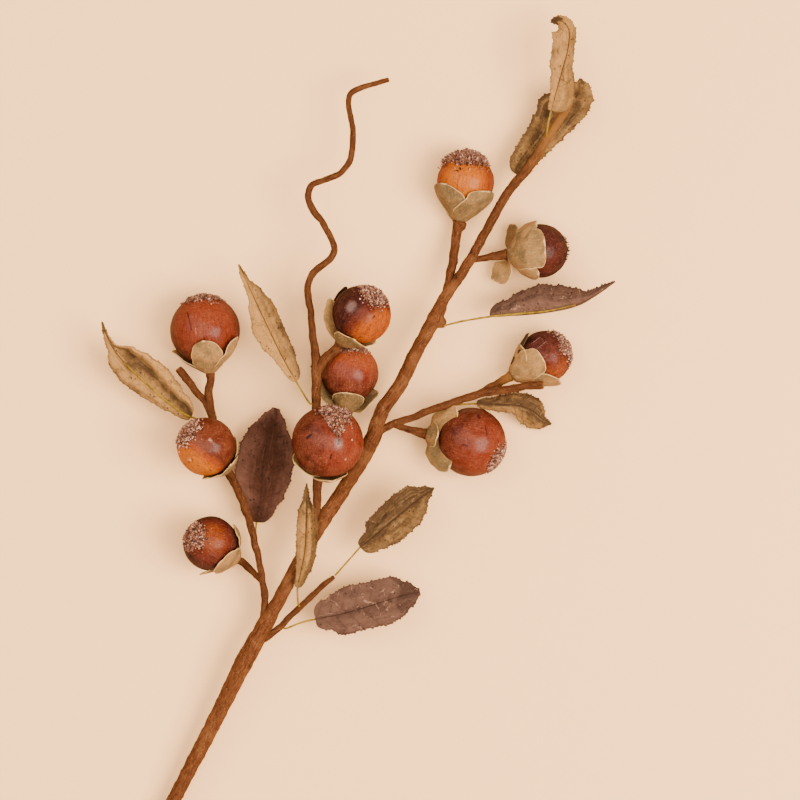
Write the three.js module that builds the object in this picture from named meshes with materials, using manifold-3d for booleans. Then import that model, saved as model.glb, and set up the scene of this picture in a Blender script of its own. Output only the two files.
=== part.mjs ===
// A dried fruiting branch, cut and lying on a table: a woody stem with twigs, ten round
// frosted fruits in lobed calyxes, and ten toothed leaves on thin leaf stalks.
// Millimetres, +Z up. The branch is laid out in its own plan, x to the right, y along the
// branch and z above the table, and at the end it is moved to stand on its box's centre.
import * as THREE from 'three';
import { mergeVertices } from 'three/addons/utils/BufferGeometryUtils.js';
import Module from 'manifold-3d';

const wasm = await Module();
wasm.setup();

// Clearances and thicknesses
const gap = 0.3;                 // between pieces that touch
const skinClearance = 0.45;      // frost to fruit, more than a facet's sag
const lobeClearance = 0.95;      // calyx to fruit
const lobeThickness = 0.8;
const bladeThickness = 0.7;
const frostThickness = 0.8;      // the crust below its grains
const frostGrain = 1.1;          // the highest grain above the crust
const leafStalkRadius = 0.55;
const leafStalkSpare = 0.25;     // more room between a leaf stalk and the curved blade
const restFlat = 0.9;            // how much of a round fruit the table takes off where it lies

// Shapes that repeat
const fruitRibs = 6;
const fruitRibDepth = 0.006;     // as a share of the radius
const rimWave = 0.12;            // of the frost's rim, as shares of its half angle
const rimDraw = 0.1;
const rimThinning = 0.75;
const notchShare = 0.5;          // where the calyx divides, as a share of a lobe's length
const lobeColumns = [-0.5, -0.42, -0.24, 0, 0.24, 0.42]; // places across a lobe of width 1
const neckLength = 3.4;          // of the stalk's widening below a calyx
const neckShare = 0.8;
const toothDepth = 0.9;
const toothPlace = 0.72;         // along its row, so that teeth point to the tip
const lastToothShare = 0.2;
const leafCurl = 10;             // degrees that the outer half of each side turns on
const stalkPlaces = [0.04, 0.22, 0.4, 0.58]; // along the rib, where the leaf stalk follows it
const stalkTaper = 0.6;

// Fineness
const woodSides = 7;
const woodStepsPerSpan = 2;
const fruitSides = 18;
const fruitRings = 10;
const frostSides = 16;
const frostRings = 5;
const lobeRings = 4;
const leafRows = 11;
const leafStalkSides = 5;
const leafStalkSteps = 2;

const colours = {
  wood: '#8f5320',
  fruit: ['#9c4127', '#a54622', '#8d3524', '#a84a30', '#a3452b', '#8f3c22', '#c4642a', '#7c3226', '#84382a',
    '#a04332'],
  frost: '#a58178',
  calyx: '#b5a27b',
  leafStalk: '#b89b45',
  tan: '#ab946a',
  mauve: '#7d6259',
  umber: '#5f4238',
};

// Fruits: centre, radius, axis from stalk to tip, the frost's own direction, its half angle in
// degrees, the slope and the heel's radius of the calyx's cone, its turn about the axis, and each
// lobe's reach in degrees round the fruit with its hug: 1 follows the fruit, 0 runs straight
// on from the cone and below 0 it is bent back towards the stalk.
const fruits = [
  { at: [102.2, 235, 0], radius: 17.7, axis: [-0.11, 0.98, 0.12], frost: [-0.03, 0.99, 0.1], spread: 34,
    slope: 36, heel: 2.7, turn: 0, lobes: [[66, 0.9], [82, 1], [74, 0.85], [46, 1]], rests: true },
  { at: [103.4, 176.8, 27.4], radius: 14.75, axis: [-0.5, 0.62, 0.6], frost: [-0.68, 0.54, 0.48], spread: 33,
    slope: 42, heel: 2.8, turn: 45, lobes: [[58, 1], [60, 0.9], [60, 1], [56, 1]] },
  { at: [105, 128.3, 20.5], radius: 13.75, axis: [-0.71, 0.46, 0.53], frost: [-0.55, 0.27, 0.79], spread: 29,
    slope: 43, heel: 3, turn: -22, lobes: [[74, 0.3], [78, 1], [72, 0.9], [56, 1]] },
  { at: [164.4, 179.5, 45], radius: 18, axis: [0.1, 0.6, 0.79], frost: [0.24, 0.86, 0.46], spread: 27,
    slope: 41, heel: 3, turn: 45, lobes: [[60, 0.9], [60, 0.9], [58, 1], [58, 1]] },
  { at: [174.8, 213.5, 14.9], radius: 14.5, axis: [0.05, 0.98, 0.2], frost: [0.08, 0.97, 0.2], spread: 32,
    slope: 46, heel: 3, turn: -4, lobes: [[82, 0.15], [62, 1], [64, 0.3], [50, 1]] },
  { at: [181, 242.5, 35], radius: 14.75, axis: [0.54, 0.72, 0.43], frost: [0.45, 0.72, 0.53], spread: 31,
    slope: 44, heel: 3.4, turn: -10, lobes: [[86, 0.75], [54, 1], [64, 0.8], [58, 1]] },
  { at: [233, 309.5, 0], radius: 14.5, axis: [0.17, 0.96, 0.2], frost: [0.02, 0.98, 0.2], spread: 46,
    slope: 48, heel: 3.8, turn: 45, lobes: [[82, 1], [82, 0.85], [56, 1], [56, 1]], rests: true },
  { at: [270.8, 275, 0], radius: 13.75, axis: [0.98, 0.1, 0.12], frost: [0.97, 0.05, 0.2], spread: 20,
    slope: 38, heel: 3.2, turn: 60, lobes: [[76, 1], [66, 0.9], [70, -0.9], [46, 1], [72, 0.85]], rests: true },
  { at: [273, 221.8, 14], radius: 13.25, axis: [0.87, 0.49, 0.05], frost: [0.86, 0.48, 0.12], spread: 42,
    slope: 52, heel: 3.5, turn: 0, lobes: [[80, 0.8], [84, 1], [96, 0.75], [56, 1]] },
  { at: [235.9, 179, 0], radius: 17.5, axis: [0.97, -0.17, 0.12], frost: [0.8, -0.52, 0.3], spread: 26,
    slope: 44, heel: 3.7, turn: 30, lobes: [[54, 0.9], [54, 0.9], [46, 1]], rests: true },
];

// Wood: points [x, y, z, radius] along each stick, whose first point lies inside its parent.
// A stick with a fruit runs on to that fruit's calyx and flares there to the given radius.
const sticks = [
  { points: [[41, -88, 3, 3.7], [64, -44, 6, 3.6], [87, 0.5, 9, 3.5], [107, 39, 12, 3.9],
    [122.5, 70, 15, 4.6], [131, 85, 16.3, 4.3], [137.5, 96.5, 17, 3.4], [150, 120, 18, 3.3],
    [160, 137.5, 18.8, 3.7], [172.5, 156.5, 19.4, 3.6], [186, 180, 19.8, 4.1], [191, 194.5, 19.8, 3.6],
    [200, 207.5, 19.6, 3.5], [207.5, 223, 19.3, 3.4], [218, 242, 18.8, 3.6], [222.5, 251.5, 18.4, 2.9],
    [232, 265, 18, 2.5], [242, 282.5, 17.8, 2.3], [255, 305.5, 18, 2.3], [264, 316, 18.4, 2.3],
    [276.5, 335, 19.6, 2.2], [284.5, 348.5, 21, 2.1]] },
  { fruit: 1, flare: 2.5, points: [[131, 86, 16.2, 1.8], [132, 100, 16.4, 1.8], [130.5, 112.5, 16.5, 1.7],
    [126.5, 131.5, 16.4, 1.8], [123, 144, 15.5, 1.9], [118, 155.5, 13.4, 2.1], [112.5, 165, 10.6, 2.2],
    [108, 178, 8.8, 2.1], [105.2, 193, 10, 2.1], [103.7, 204, 13, 2.1]] },
  { points: [[106.5, 185, 9.2, 1.6], [103, 197, 10.6, 1.7], [97, 205, 12, 1.9], [88.5, 216, 14, 2]] },
  { fruit: 2, flare: 2.4, points: [[119.5, 152, 14.2, 1.6]] },
  { fruit: 3, flare: 2.5, points: [[130.6, 109, 16.5, 1.4], [127, 112.5, 13.5, 1.6]] },
  { points: [[158, 134, 18.7, 2], [158.4, 146, 19.8, 2.2], [158.5, 160, 21, 2.1], [158.5, 180, 22.3, 2.1],
    [158, 200, 24, 2.3], [158.3, 216, 24.5, 2.6], [157, 229, 25.3, 1.9], [155, 245.5, 26, 1.75],
    [153.8, 256, 26, 1.7], [156.5, 263, 26.1, 1.8], [166, 271.5, 26, 1.7], [167, 276.5, 25.7, 1.7],
    [163, 286, 25.3, 1.65], [155, 297.5, 24.7, 1.7], [155.5, 306.5, 24.3, 1.7], [170.5, 313.5, 23.7, 1.5],
    [175, 320, 23.3, 1.6], [176.5, 333.5, 22.6, 1.5], [174.5, 347, 21.8, 1.4], [175.5, 353.5, 21.4, 1.5],
    [194.5, 360.5, 20, 1.25]] },
  { fruit: 4, flare: 2.6, points: [[158.5, 153, 20.4, 1.6], [160, 160, 22.6, 1.8]] },
  { fruit: 5, flare: 2.4, points: [[158.5, 178, 22.3, 1.6], [163, 184.5, 18.6, 1.7]] },
  { fruit: 6, flare: 3, points: [[158.3, 213, 24.4, 2.1], [161.6, 219.4, 26, 2.3]] },
  { points: [[186, 179, 19.8, 1.9], [191, 185.2, 20, 1.9], [202.5, 190, 20.4, 1.9], [218.5, 196, 21, 1.9],
    [238, 202.5, 22, 2], [257, 206, 23.4, 1.9], [271.8, 207.6, 24.6, 2.1]] },
  { fruit: 9, flare: 2.8, points: [[238, 202.4, 22, 1.6], [246, 206.6, 18.6, 1.9]] },
  { fruit: 10, flare: 3, points: [[197, 187.8, 20.2, 1.6], [203, 185.6, 17.6, 1.7]] },
  { fruit: 7, flare: 3.2, points: [[222.8, 252, 18.4, 2.1], [226.2, 268, 14.6, 2.3]] },
  { fruit: 8, flare: 3, points: [[236, 270, 17.9, 1.4], [243, 271.4, 15.2, 1.7]] },
  { points: [[131, 80, 16, 2.2], [137.5, 84, 16.4, 1.7], [149, 95.5, 17, 1.6], [160.5, 106, 17.6, 1.5],
    [167, 111.5, 18, 1.1]] },
];

// Leaves: the rib's points, half widths left and right of it at nine even stations, how far
// each half is raised in degrees, and the leaf stalk's way from the wood, with the side of the
// blade that the stalk runs along: 1 above, -1 below.
const leaves = [
  { tone: 'tan', rib: [[94.8, 191, 14], [84, 198.5, 14], [72, 209, 15.5], [60.5, 220, 18], [54, 230, 21],
    [51.3, 239, 25]], left: [0.9, 3.6, 5.4, 7.2, 8.3, 7.2, 2.5, 1.3, 0.5],
    right: [1.2, 9.4, 12, 14, 13.4, 10.2, 2.2, 1.1, 0.5], raise: [24, 20],
  stalk: [[104.5, 189.4, 12.1], [99, 190.4, 15.4]], side: 1 },
  { tone: 'tan', rib: [[148, 209.5, 25.5], [141, 222, 26.5], [134, 236.5, 27.5], [126.5, 252.5, 28],
    [119.5, 267.5, 26.5]], left: [0.9, 3.2, 4.2, 7.3, 8.6, 5.6, 2.4, 1.9, 0.5],
    right: [0.9, 5.1, 7.5, 7.7, 7.7, 8, 5.6, 1.6, 0.5], raise: [16, 14],
  stalk: [[155.4, 198, 24.9], [151, 204.5, 24.6]], side: -1 },
  { tone: 'umber', rib: [[127.5, 138.5, 8.6], [130, 153, 7.2], [131, 168, 6.8], [134, 183, 8],
    [137.5, 196, 10.5]], left: [2, 9.5, 12.5, 13.5, 13.5, 13.2, 10.5, 6.4, 2],
    right: [2, 8.4, 12.4, 16, 16.4, 15.4, 12.6, 8, 2.5], raise: [3, 14],
  stalk: [[127, 128.2, 13.9], [127.1, 132.5, 9]], side: -1 },
  { tone: 'tan', rib: [[148.5, 106.5, 23], [152, 122, 25], [153.3, 140, 27], [153.5, 158.5, 28.5]],
    left: [0.9, 2.6, 4, 5.2, 6, 6.2, 5.4, 2.2, 0.5],
    right: [0.9, 4.2, 6, 7.2, 7.4, 7.2, 5.6, 1.8, 0.5], raise: [38, 30],
    stalk: [[149.3, 97, 19.1], [148.8, 102, 21.6]], side: -1 },
  { tone: 'tan', rib: [[180, 126.5, 18.5], [189, 133.5, 20], [198.5, 141.5, 22], [208, 149.5, 22.5],
    [217, 156, 20.5]], left: [0.9, 4, 8.7, 9.1, 9.5, 10.1, 9.5, 4.5, 0.6],
    right: [1.5, 7.2, 8.8, 10.3, 10.5, 10.5, 7.8, 3.2, 0.6], raise: [12, 8],
  stalk: [[167.4, 111.9, 18], [175, 120.5, 17.6]], side: -1 },
  { tone: 'mauve', rib: [[157.5, 90, 15], [170, 92.5, 16.5], [184, 96.5, 18], [198, 101, 18],
    [210, 104, 16]], left: [2.5, 9.2, 11.7, 13, 12.5, 12.3, 11.2, 6.5, 1.8],
    right: [2.5, 6.5, 10.3, 10.8, 11.3, 11.8, 10.3, 6.8, 2.2], raise: [8, 10],
  stalk: [[142.1, 85.3, 15.9], [150, 88, 14.3]], side: -1 },
  { tone: 'mauve', rib: [[245, 241.8, 19.5], [258, 243, 21], [274, 244.6, 22], [289, 248, 22.5],
    [298, 252.6, 23], [307.5, 259, 24.5]], left: [1.2, 7.5, 11.3, 13.6, 12, 8.5, 3.6, 2.4, 0.8],
    right: [0.9, 5, 8, 8.5, 9, 8, 5, 2.5, 0.6], raise: [-6, -80], turn: 0, stalk: [[219.9, 237.1, 20.3], [232, 239.6, 20.2]], side: 1 },
  { tone: 'tan', rib: [[238.5, 198.3, 13.6], [249, 197.8, 14.4], [259, 197.4, 14.6], [266.5, 194.8, 13],
    [271.5, 190.6, 10], [276.5, 187.8, 7]], left: [0.9, 3, 5, 6.5, 7, 6.4, 4.4, 1.4, 0.5],
    right: [0.9, 3.5, 4.7, 5.3, 8.5, 10.5, 10, 6.5, 0.8], raise: [-10, -28], turn: 0, stalk: [[226.5, 197.6, 19], [231.5, 197.8, 14.2]], side: -1 },
  { tone: 'tan', rib: [[275.5, 344.5, 24.6], [278, 354, 26], [281, 365, 27.6], [283.8, 376, 28.4],
    [284, 384.5, 27.6], [280.5, 389, 25.4], [275.5, 389.4, 23]], left: [1.5, 2.6, 4.6, 7.2, 8.1, 9.4, 4, 2.2, 1],
    right: [3, 11, 8.5, 4.8, 3.4, 3.6, 3.4, 2.4, 1], raise: [10, 24],
    stalk: [[273.4, 332, 22.1], [274, 338, 22.9]], side: -1 },
  { tone: 'tan', rib: [[259, 313, 12.4], [267.5, 325, 11], [277.5, 337.5, 10.8], [286, 348.5, 12],
    [290, 355.5, 14], [290.6, 361.5, 15.5]], left: [3, 8.2, 9.5, 11.8, 14.4, 10.5, 6.5, 3, 0.6],
    right: [3, 4.8, 6, 7, 8.2, 9.5, 8.5, 5, 0.8], raise: [4, 4],
  stalk: [[254.7, 307.6, 15.5], [256, 309.9, 12.4]], side: -1 },
];

const vector = (p) => new THREE.Vector3(p[0], p[1], p[2]);
const degrees = Math.PI / 180;

// A repeatable draw between 0 and 1, by the mulberry steps
function drawer(seed) {
  let state = seed;
  return () => {
    state = (state + 0x6d2b79f5) | 0;
    let mixed = Math.imul(state ^ (state >>> 15), 1 | state);
    mixed = (mixed + Math.imul(mixed ^ (mixed >>> 7), 61 | mixed)) ^ mixed;
    return ((mixed ^ (mixed >>> 14)) >>> 0) / 4294967296;
  };
}

function solid(points, faces) {
  const geometry = new THREE.BufferGeometry();
  const places = points.flatMap((p) => [p.x, p.y, p.z]);
  geometry.setAttribute('position', new THREE.Float32BufferAttribute(places, 3));
  geometry.setIndex(faces.flat());
  geometry.computeVertexNormals();
  return geometry;
}

function toManifold(geometry) {
  const bare = geometry.clone();
  bare.deleteAttribute('normal');
  bare.deleteAttribute('uv');
  const merged = mergeVertices(bare, 1e-5);
  return new wasm.Manifold(new wasm.Mesh({
    numProp: 3,
    vertProperties: new Float32Array(merged.attributes.position.array),
    triVerts: new Uint32Array(merged.index.array),
  }));
}

function fromManifold(body) {
  const mesh = body.getMesh();
  const geometry = new THREE.BufferGeometry();
  geometry.setAttribute('position', new THREE.BufferAttribute(new Float32Array(mesh.vertProperties), 3));
  geometry.setIndex(new THREE.BufferAttribute(new Uint32Array(mesh.triVerts), 1));
  geometry.computeVertexNormals();
  return geometry;
}

// A smooth value through evenly spaced numbers, for a place from 0 to 1
function along(values, place) {
  const spans = values.length - 1;
  const span = Math.min(Math.floor(place * spans), spans - 1);
  const part = place * spans - span;
  const eased = part * part * (3 - 2 * part);
  return values[span] + (values[span + 1] - values[span]) * eased;
}

// A blade's half width: its base is round, so the first span rises like a quarter of an ellipse
function bladeWidth(widths, place) {
  const spans = widths.length - 1;
  const part = place * spans;
  if (part >= 1) return along(widths, place);
  return widths[0] + (widths[1] - widths[0]) * Math.sqrt(1 - (1 - part) ** 2);
}

// A closed round body along a list of rings, each with its centre, direction and radius
function tube(centres, directions, radii, sides) {
  const points = [];
  const faces = [];
  let out = new THREE.Vector3(0, 0, 1);
  centres.forEach((centre, ring) => {
    out = out.clone().addScaledVector(directions[ring], -out.dot(directions[ring])).normalize();
    const across = new THREE.Vector3().crossVectors(directions[ring], out);
    for (let side = 0; side < sides; side += 1) {
      const angle = (2 * Math.PI * side) / sides;
      points.push(centre.clone()
        .addScaledVector(out, radii[ring] * Math.cos(angle))
        .addScaledVector(across, radii[ring] * Math.sin(angle)));
    }
  });
  for (let ring = 0; ring + 1 < centres.length; ring += 1) {
    for (let side = 0; side < sides; side += 1) {
      const a = ring * sides + side;
      const b = ring * sides + ((side + 1) % sides);
      faces.push([a, b, b + sides], [a, b + sides, a + sides]);
    }
  }
  const last = (centres.length - 1) * sides;
  for (let side = 1; side + 1 < sides; side += 1) {
    faces.push([0, side + 1, side], [last, last + side, last + side + 1]);
  }
  return solid(points, faces);
}

// A tube through points [x, y, z, radius]
function stick(points, sides, stepsPerSpan) {
  const curve = new THREE.CatmullRomCurve3(points.map(vector), false, 'centripetal');
  const spans = points.length - 1;
  const steps = spans * stepsPerSpan;
  const places = Array.from({ length: steps + 1 }, (_, step) => step / steps);
  return tube(
    places.map((place) => curve.getPoint(place)),
    places.map((place) => curve.getTangent(place)),
    places.map((place) => along(points.map((p) => p[3]), place)),
    sides,
  );
}

// A closed sheet of one thickness about a surface of triangles
function sheet(points, faces, thickness) {
  const normals = solid(points, faces).attributes.normal;
  const count = points.length;
  const shifted = (amount) => points.map((point, i) => point.clone()
    .addScaledVector(new THREE.Vector3().fromBufferAttribute(normals, i), amount));
  const sides = new Set();
  faces.forEach(([a, b, c]) => [[a, b], [b, c], [c, a]].forEach(([p, q]) => sides.add(p * count + q)));
  const body = [];
  faces.forEach(([a, b, c]) => body.push([a, b, c], [a + count, c + count, b + count]));
  sides.forEach((side) => {
    const p = Math.floor(side / count);
    const q = side % count;
    if (!sides.has(q * count + p)) body.push([p, q + count, q], [p, p + count, q + count]);
  });
  return solid([...shifted(thickness / 2), ...shifted(-thickness / 2)], body);
}

// The turn that takes +Z to an axis, with +Y of the piece facing up from the table
function turnTo(axis) {
  const up = vector(axis).normalize();
  const front = new THREE.Vector3(0, 0, 1).addScaledVector(up, -up.z).normalize();
  const side = new THREE.Vector3().crossVectors(front, up);
  return new THREE.Quaternion().setFromRotationMatrix(new THREE.Matrix4().makeBasis(side, front, up));
}

// A fruit about its centre, its stalk end at -Z: faint ribs fade towards both ends
function fruitBody(fruit) {
  const points = [new THREE.Vector3(0, 0, -fruit.radius)];
  const faces = [];
  for (let ring = 1; ring < fruitRings; ring += 1) {
    const polar = (Math.PI * ring) / fruitRings;
    for (let side = 0; side < fruitSides; side += 1) {
      const angle = (2 * Math.PI * side) / fruitSides;
      const rib = fruitRibDepth * (Math.cos(fruitRibs * angle) - 1) * Math.sin(polar);
      const radius = fruit.radius * (1 + rib);
      points.push(new THREE.Vector3(
        radius * Math.sin(polar) * Math.cos(angle),
        radius * Math.sin(polar) * Math.sin(angle),
        -radius * Math.cos(polar),
      ));
    }
  }
  const tip = points.push(new THREE.Vector3(0, 0, fruit.radius)) - 1;
  const last = tip - fruitSides;
  for (let side = 0; side < fruitSides; side += 1) {
    const next = (side + 1) % fruitSides;
    faces.push([0, 1 + next, 1 + side], [tip, last + side, last + next]);
    for (let ring = 0; ring + 2 < fruitRings; ring += 1) {
      const a = 1 + ring * fruitSides + side;
      const b = 1 + ring * fruitSides + next;
      faces.push([a, b, b + fruitSides], [a, b + fruitSides, a + fruitSides]);
    }
  }
  return solid(points, faces);
}

// Takes off what would be below the table, of a piece with its own place and turn
function flattened(body, at, turn) {
  const span = 1000;
  const slab = new THREE.BoxGeometry(span, span, span);
  slab.translate(0, 0, -span / 2 - at.z);
  slab.applyQuaternion(turn.clone().invert());
  return fromManifold(body.subtract(toManifold(slab)));
}

// A crust of frost about +Z: a cap with a ragged rim and a coarse grain on its outside
function frostCrust(fruit, seed) {
  const draw = drawer(seed);
  const phase = draw() * 2 * Math.PI;
  const inner = fruit.radius + skinClearance;
  const rim = Array.from({ length: frostSides }, (_, side) => {
    const angle = (2 * Math.PI * side) / frostSides;
    const wave = 1 - rimWave + rimWave * Math.sin(3 * angle + phase);
    return fruit.spread * degrees * (wave + rimDraw * (draw() - 0.5));
  });
  const points = [];
  const faces = [];
  const ringOf = (share, radiusAt) => {
    const first = points.length;
    rim.forEach((edge, side) => {
      const angle = (2 * Math.PI * side) / frostSides;
      const radius = radiusAt();
      points.push(new THREE.Vector3(
        radius * Math.sin(edge * share) * Math.cos(angle),
        radius * Math.sin(edge * share) * Math.sin(angle),
        radius * Math.cos(edge * share),
      ));
    });
    return first;
  };
  const outer = points.push(new THREE.Vector3(0, 0, inner + frostThickness + frostGrain * draw())) - 1;
  const outerRings = Array.from({ length: frostRings }, (_, ring) => {
    if (ring === frostRings - 1) return ringOf(1, () => inner + frostThickness * rimThinning);
    return ringOf((ring + 1) / frostRings, () => inner + frostThickness + frostGrain * draw());
  });
  const innerRings = [1, 2 / 3, 1 / 3].map((share) => ringOf(share, () => inner));
  const centre = points.push(new THREE.Vector3(0, 0, inner)) - 1;
  const chain = [...outerRings, ...innerRings];
  const [highest, lowest] = [chain[0], chain[chain.length - 1]];
  for (let side = 0; side < frostSides; side += 1) {
    const next = (side + 1) % frostSides;
    faces.push([outer, highest + side, highest + next]);
    faces.push([centre, lowest + next, lowest + side]);
    for (let link = 0; link + 1 < chain.length; link += 1) {
      const [from, to] = [chain[link], chain[link + 1]];
      faces.push([from + side, to + side, to + next], [from + side, to + next, from + next]);
    }
  }
  return solid(points, faces);
}

// The calyx's middle surface in section: a small flat heel where the stalk ends, a cone that
// meets the fruit, and its distance from the fruit's centre
function calyxShape(fruit) {
  const radius = fruit.radius + lobeClearance + lobeThickness / 2;
  const slope = fruit.slope * degrees;
  const { heel } = fruit;
  const cone = (radius * Math.sin(slope) - heel) / Math.cos(slope);
  const distance = radius / Math.cos(slope) - heel * Math.tan(slope);
  return { radius, slope, heel, cone, distance };
}

// A calyx about -Z: heel and cone, divided into round lobes
function calyxCup(fruit) {
  const { radius, slope, heel, cone, distance } = calyxShape(fruit);
  const meridian = (length, hug) => {
    if (length <= heel) return [length, -distance];
    const onCone = Math.min(length - heel, cone);
    const turned = Math.max(length - heel - cone, 0) / radius;
    const heading = slope + hug * turned;
    return [
      heel + onCone * Math.cos(slope) + (radius / hug) * (Math.sin(heading) - Math.sin(slope)),
      -distance + onCone * Math.sin(slope) + (radius / hug) * (Math.cos(slope) - Math.cos(heading)),
    ];
  };
  const points = [new THREE.Vector3(0, 0, -distance)];
  const faces = [];
  const lobeTurn = (2 * Math.PI) / fruit.lobes.length;
  const columns = fruit.lobes.length * lobeColumns.length;
  for (let ring = 1; ring <= lobeRings; ring += 1) {
    for (let column = 0; column < columns; column += 1) {
      const lobe = Math.floor(column / lobeColumns.length);
      const [reach, hug] = fruit.lobes[lobe];
      const aside = lobeColumns[column % lobeColumns.length];
      const outline = notchShare + (1 - notchShare) * Math.sqrt(1 - (2 * aside) ** 2);
      const whole = (heel + cone + radius * (reach * degrees - slope)) * outline;
      const [across, height] = meridian(heel + ((whole - heel) * (ring - 1)) / (lobeRings - 1), hug);
      const angle = (lobe + aside) * lobeTurn + fruit.turn * degrees;
      points.push(new THREE.Vector3(across * Math.cos(angle), across * Math.sin(angle), height));
    }
  }
  for (let column = 0; column < columns; column += 1) {
    const next = (column + 1) % columns;
    faces.push([0, 1 + next, 1 + column]);
    for (let ring = 0; ring + 1 < lobeRings; ring += 1) {
      const a = 1 + ring * columns + column;
      const b = 1 + ring * columns + next;
      faces.push([a, b, b + columns], [a, b + columns, a + columns]);
    }
  }
  return sheet(points, faces, lobeThickness);
}

// The place of a leaf's rib, with its direction, its right-hand side and its upper normal
function ribFrame(curve, place) {
  const direction = curve.getTangent(place);
  const side = new THREE.Vector3().crossVectors(direction, new THREE.Vector3(0, 0, 1)).normalize();
  return { at: curve.getPoint(place), side, normal: new THREE.Vector3().crossVectors(side, direction) };
}

// A blade: rows of five points across the rib, with a tooth on each edge between two rows
function leafBlade(leaf) {
  const curve = new THREE.CatmullRomCurve3(leaf.rib.map(vector));
  const halves = [
    { sign: -1, widths: leaf.left, raise: leaf.raise[0] },
    { sign: 1, widths: leaf.right, raise: leaf.raise[1] },
  ];
  const across = (place, half, share, extra) => {
    const { at, side, normal } = ribFrame(curve, place);
    const width = bladeWidth(half.widths, place) + extra;
    const inner = half.raise * degrees;
    const outer = (half.raise + Math.sign(half.raise) * leafCurl) * degrees;
    const far = Math.max(share - 0.5, 0);
    const near = share - far;
    return at
      .addScaledVector(side, half.sign * width * (near * Math.cos(inner) + far * Math.cos(outer)))
      .addScaledVector(normal, width * (near * Math.sin(inner) + far * Math.sin(outer)));
  };
  const points = [];
  const faces = [];
  const perRow = 7;
  for (let row = 0; row <= leafRows; row += 1) {
    const place = row / leafRows;
    const tooth = Math.min((row + toothPlace) / leafRows, 1);
    points.push(
      across(place, halves[0], 1, 0),
      across(place, halves[0], 0.5, 0),
      curve.getPoint(place),
      across(place, halves[1], 0.5, 0),
      across(place, halves[1], 1, 0),
    );
    if (row < leafRows) {
      const depth = toothDepth * (row + 1 < leafRows ? 1 : lastToothShare);
      points.push(across(tooth, halves[0], 1, depth), across(tooth, halves[1], 1, depth));
    }
  }
  for (let row = 0; row < leafRows; row += 1) {
    const a = row * perRow;
    const b = a + perRow;
    faces.push([a + 1, a + 5, a], [a + 1, b + 1, a + 5], [a + 5, b + 1, b]);
    faces.push([a + 1, a + 2, b + 2], [a + 1, b + 2, b + 1]);
    faces.push([a + 2, a + 3, b + 2], [a + 3, b + 3, b + 2]);
    faces.push([a + 3, a + 4, a + 6], [a + 3, a + 6, b + 3], [a + 6, b + 4, b + 3]);
  }
  return sheet(points, faces, bladeThickness);
}

// A leaf stalk: from the wood to the blade, and on along the blade's rib
function leafStalk(leaf) {
  const curve = new THREE.CatmullRomCurve3(leaf.rib.map(vector));
  const valley = Math.max(0, ...leaf.raise.map((raise) => raise * leaf.side));
  const clear = (bladeThickness / 2 + gap + leafStalkRadius + leafStalkSpare) / Math.cos(valley * degrees);
  const alongRib = stalkPlaces.map((place) => {
    const { at, normal } = ribFrame(curve, place);
    return at.addScaledVector(normal, leaf.side * clear);
  });
  const route = [...leaf.stalk.map(vector), ...alongRib];
  const last = route.length - 1;
  return stick(
    route.map((p, i) => [p.x, p.y, p.z, leafStalkRadius * (i === last ? stalkTaper : 1)]),
    leafStalkSides,
    leafStalkSteps,
  );
}

function wood() {
  const bodies = sticks.map((part) => {
    const points = [...part.points];
    if (part.fruit) {
      const fruit = fruits[part.fruit - 1];
      const axis = vector(fruit.axis).normalize();
      const reach = calyxShape(fruit).distance + lobeThickness / 2 + gap;
      const end = vector(fruit.at).addScaledVector(axis, -reach);
      const before = end.clone().addScaledVector(axis, -neckLength);
      points.push([...before.toArray(), part.flare * neckShare], [...end.toArray(), part.flare]);
    }
    return toManifold(stick(points, woodSides, woodStepsPerSpan));
  });
  const whole = bodies.reduce((sum, body) => sum.add(body));
  return flattened(whole, new THREE.Vector3(), new THREE.Quaternion());
}

function mesh(name, geometry, colour, roughness) {
  const material = new THREE.MeshStandardMaterial({ color: colour, roughness, metalness: 0 });
  const made = new THREE.Mesh(geometry, material);
  made.name = name;
  return made;
}

fruits.filter((fruit) => fruit.rests).forEach((fruit) => {
  fruit.at[2] = fruit.radius - restFlat;
});

const branch = new THREE.Group();
branch.add(mesh('branch', wood(), colours.wood, 0.75));

fruits.forEach((fruit, index) => {
  const number = index + 1;
  const turn = turnTo(fruit.axis);
  const skin = flattened(toManifold(fruitBody(fruit)), vector(fruit.at), turn);
  const head = new THREE.Group();
  head.position.copy(vector(fruit.at));
  const body = mesh(`fruit_${number}`, skin, colours.fruit[index], 0.35);
  const calyx = mesh(`calyx_${number}`, calyxCup(fruit), colours.calyx, 0.85);
  const frost = mesh(`frost_${number}`, frostCrust(fruit, number), colours.frost, 0.6);
  body.quaternion.copy(turn);
  calyx.quaternion.copy(turn);
  frost.quaternion.copy(turnTo(fruit.frost));
  head.add(body, calyx, frost);
  branch.add(head);
});

leaves.forEach((leaf, index) => {
  const number = index + 1;
  branch.add(mesh(`leaf_${number}`, leafBlade(leaf), colours[leaf.tone], 0.85));
  branch.add(mesh(`leafstalk_${number}`, leafStalk(leaf), colours.leafStalk, 0.7));
});

// The origin is the centre of the underside of the whole branch's box
const box = new THREE.Box3().setFromObject(branch, true);
branch.position.set(-(box.min.x + box.max.x) / 2, -(box.min.y + box.max.y) / 2, -box.min.z);

export default branch;
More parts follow.
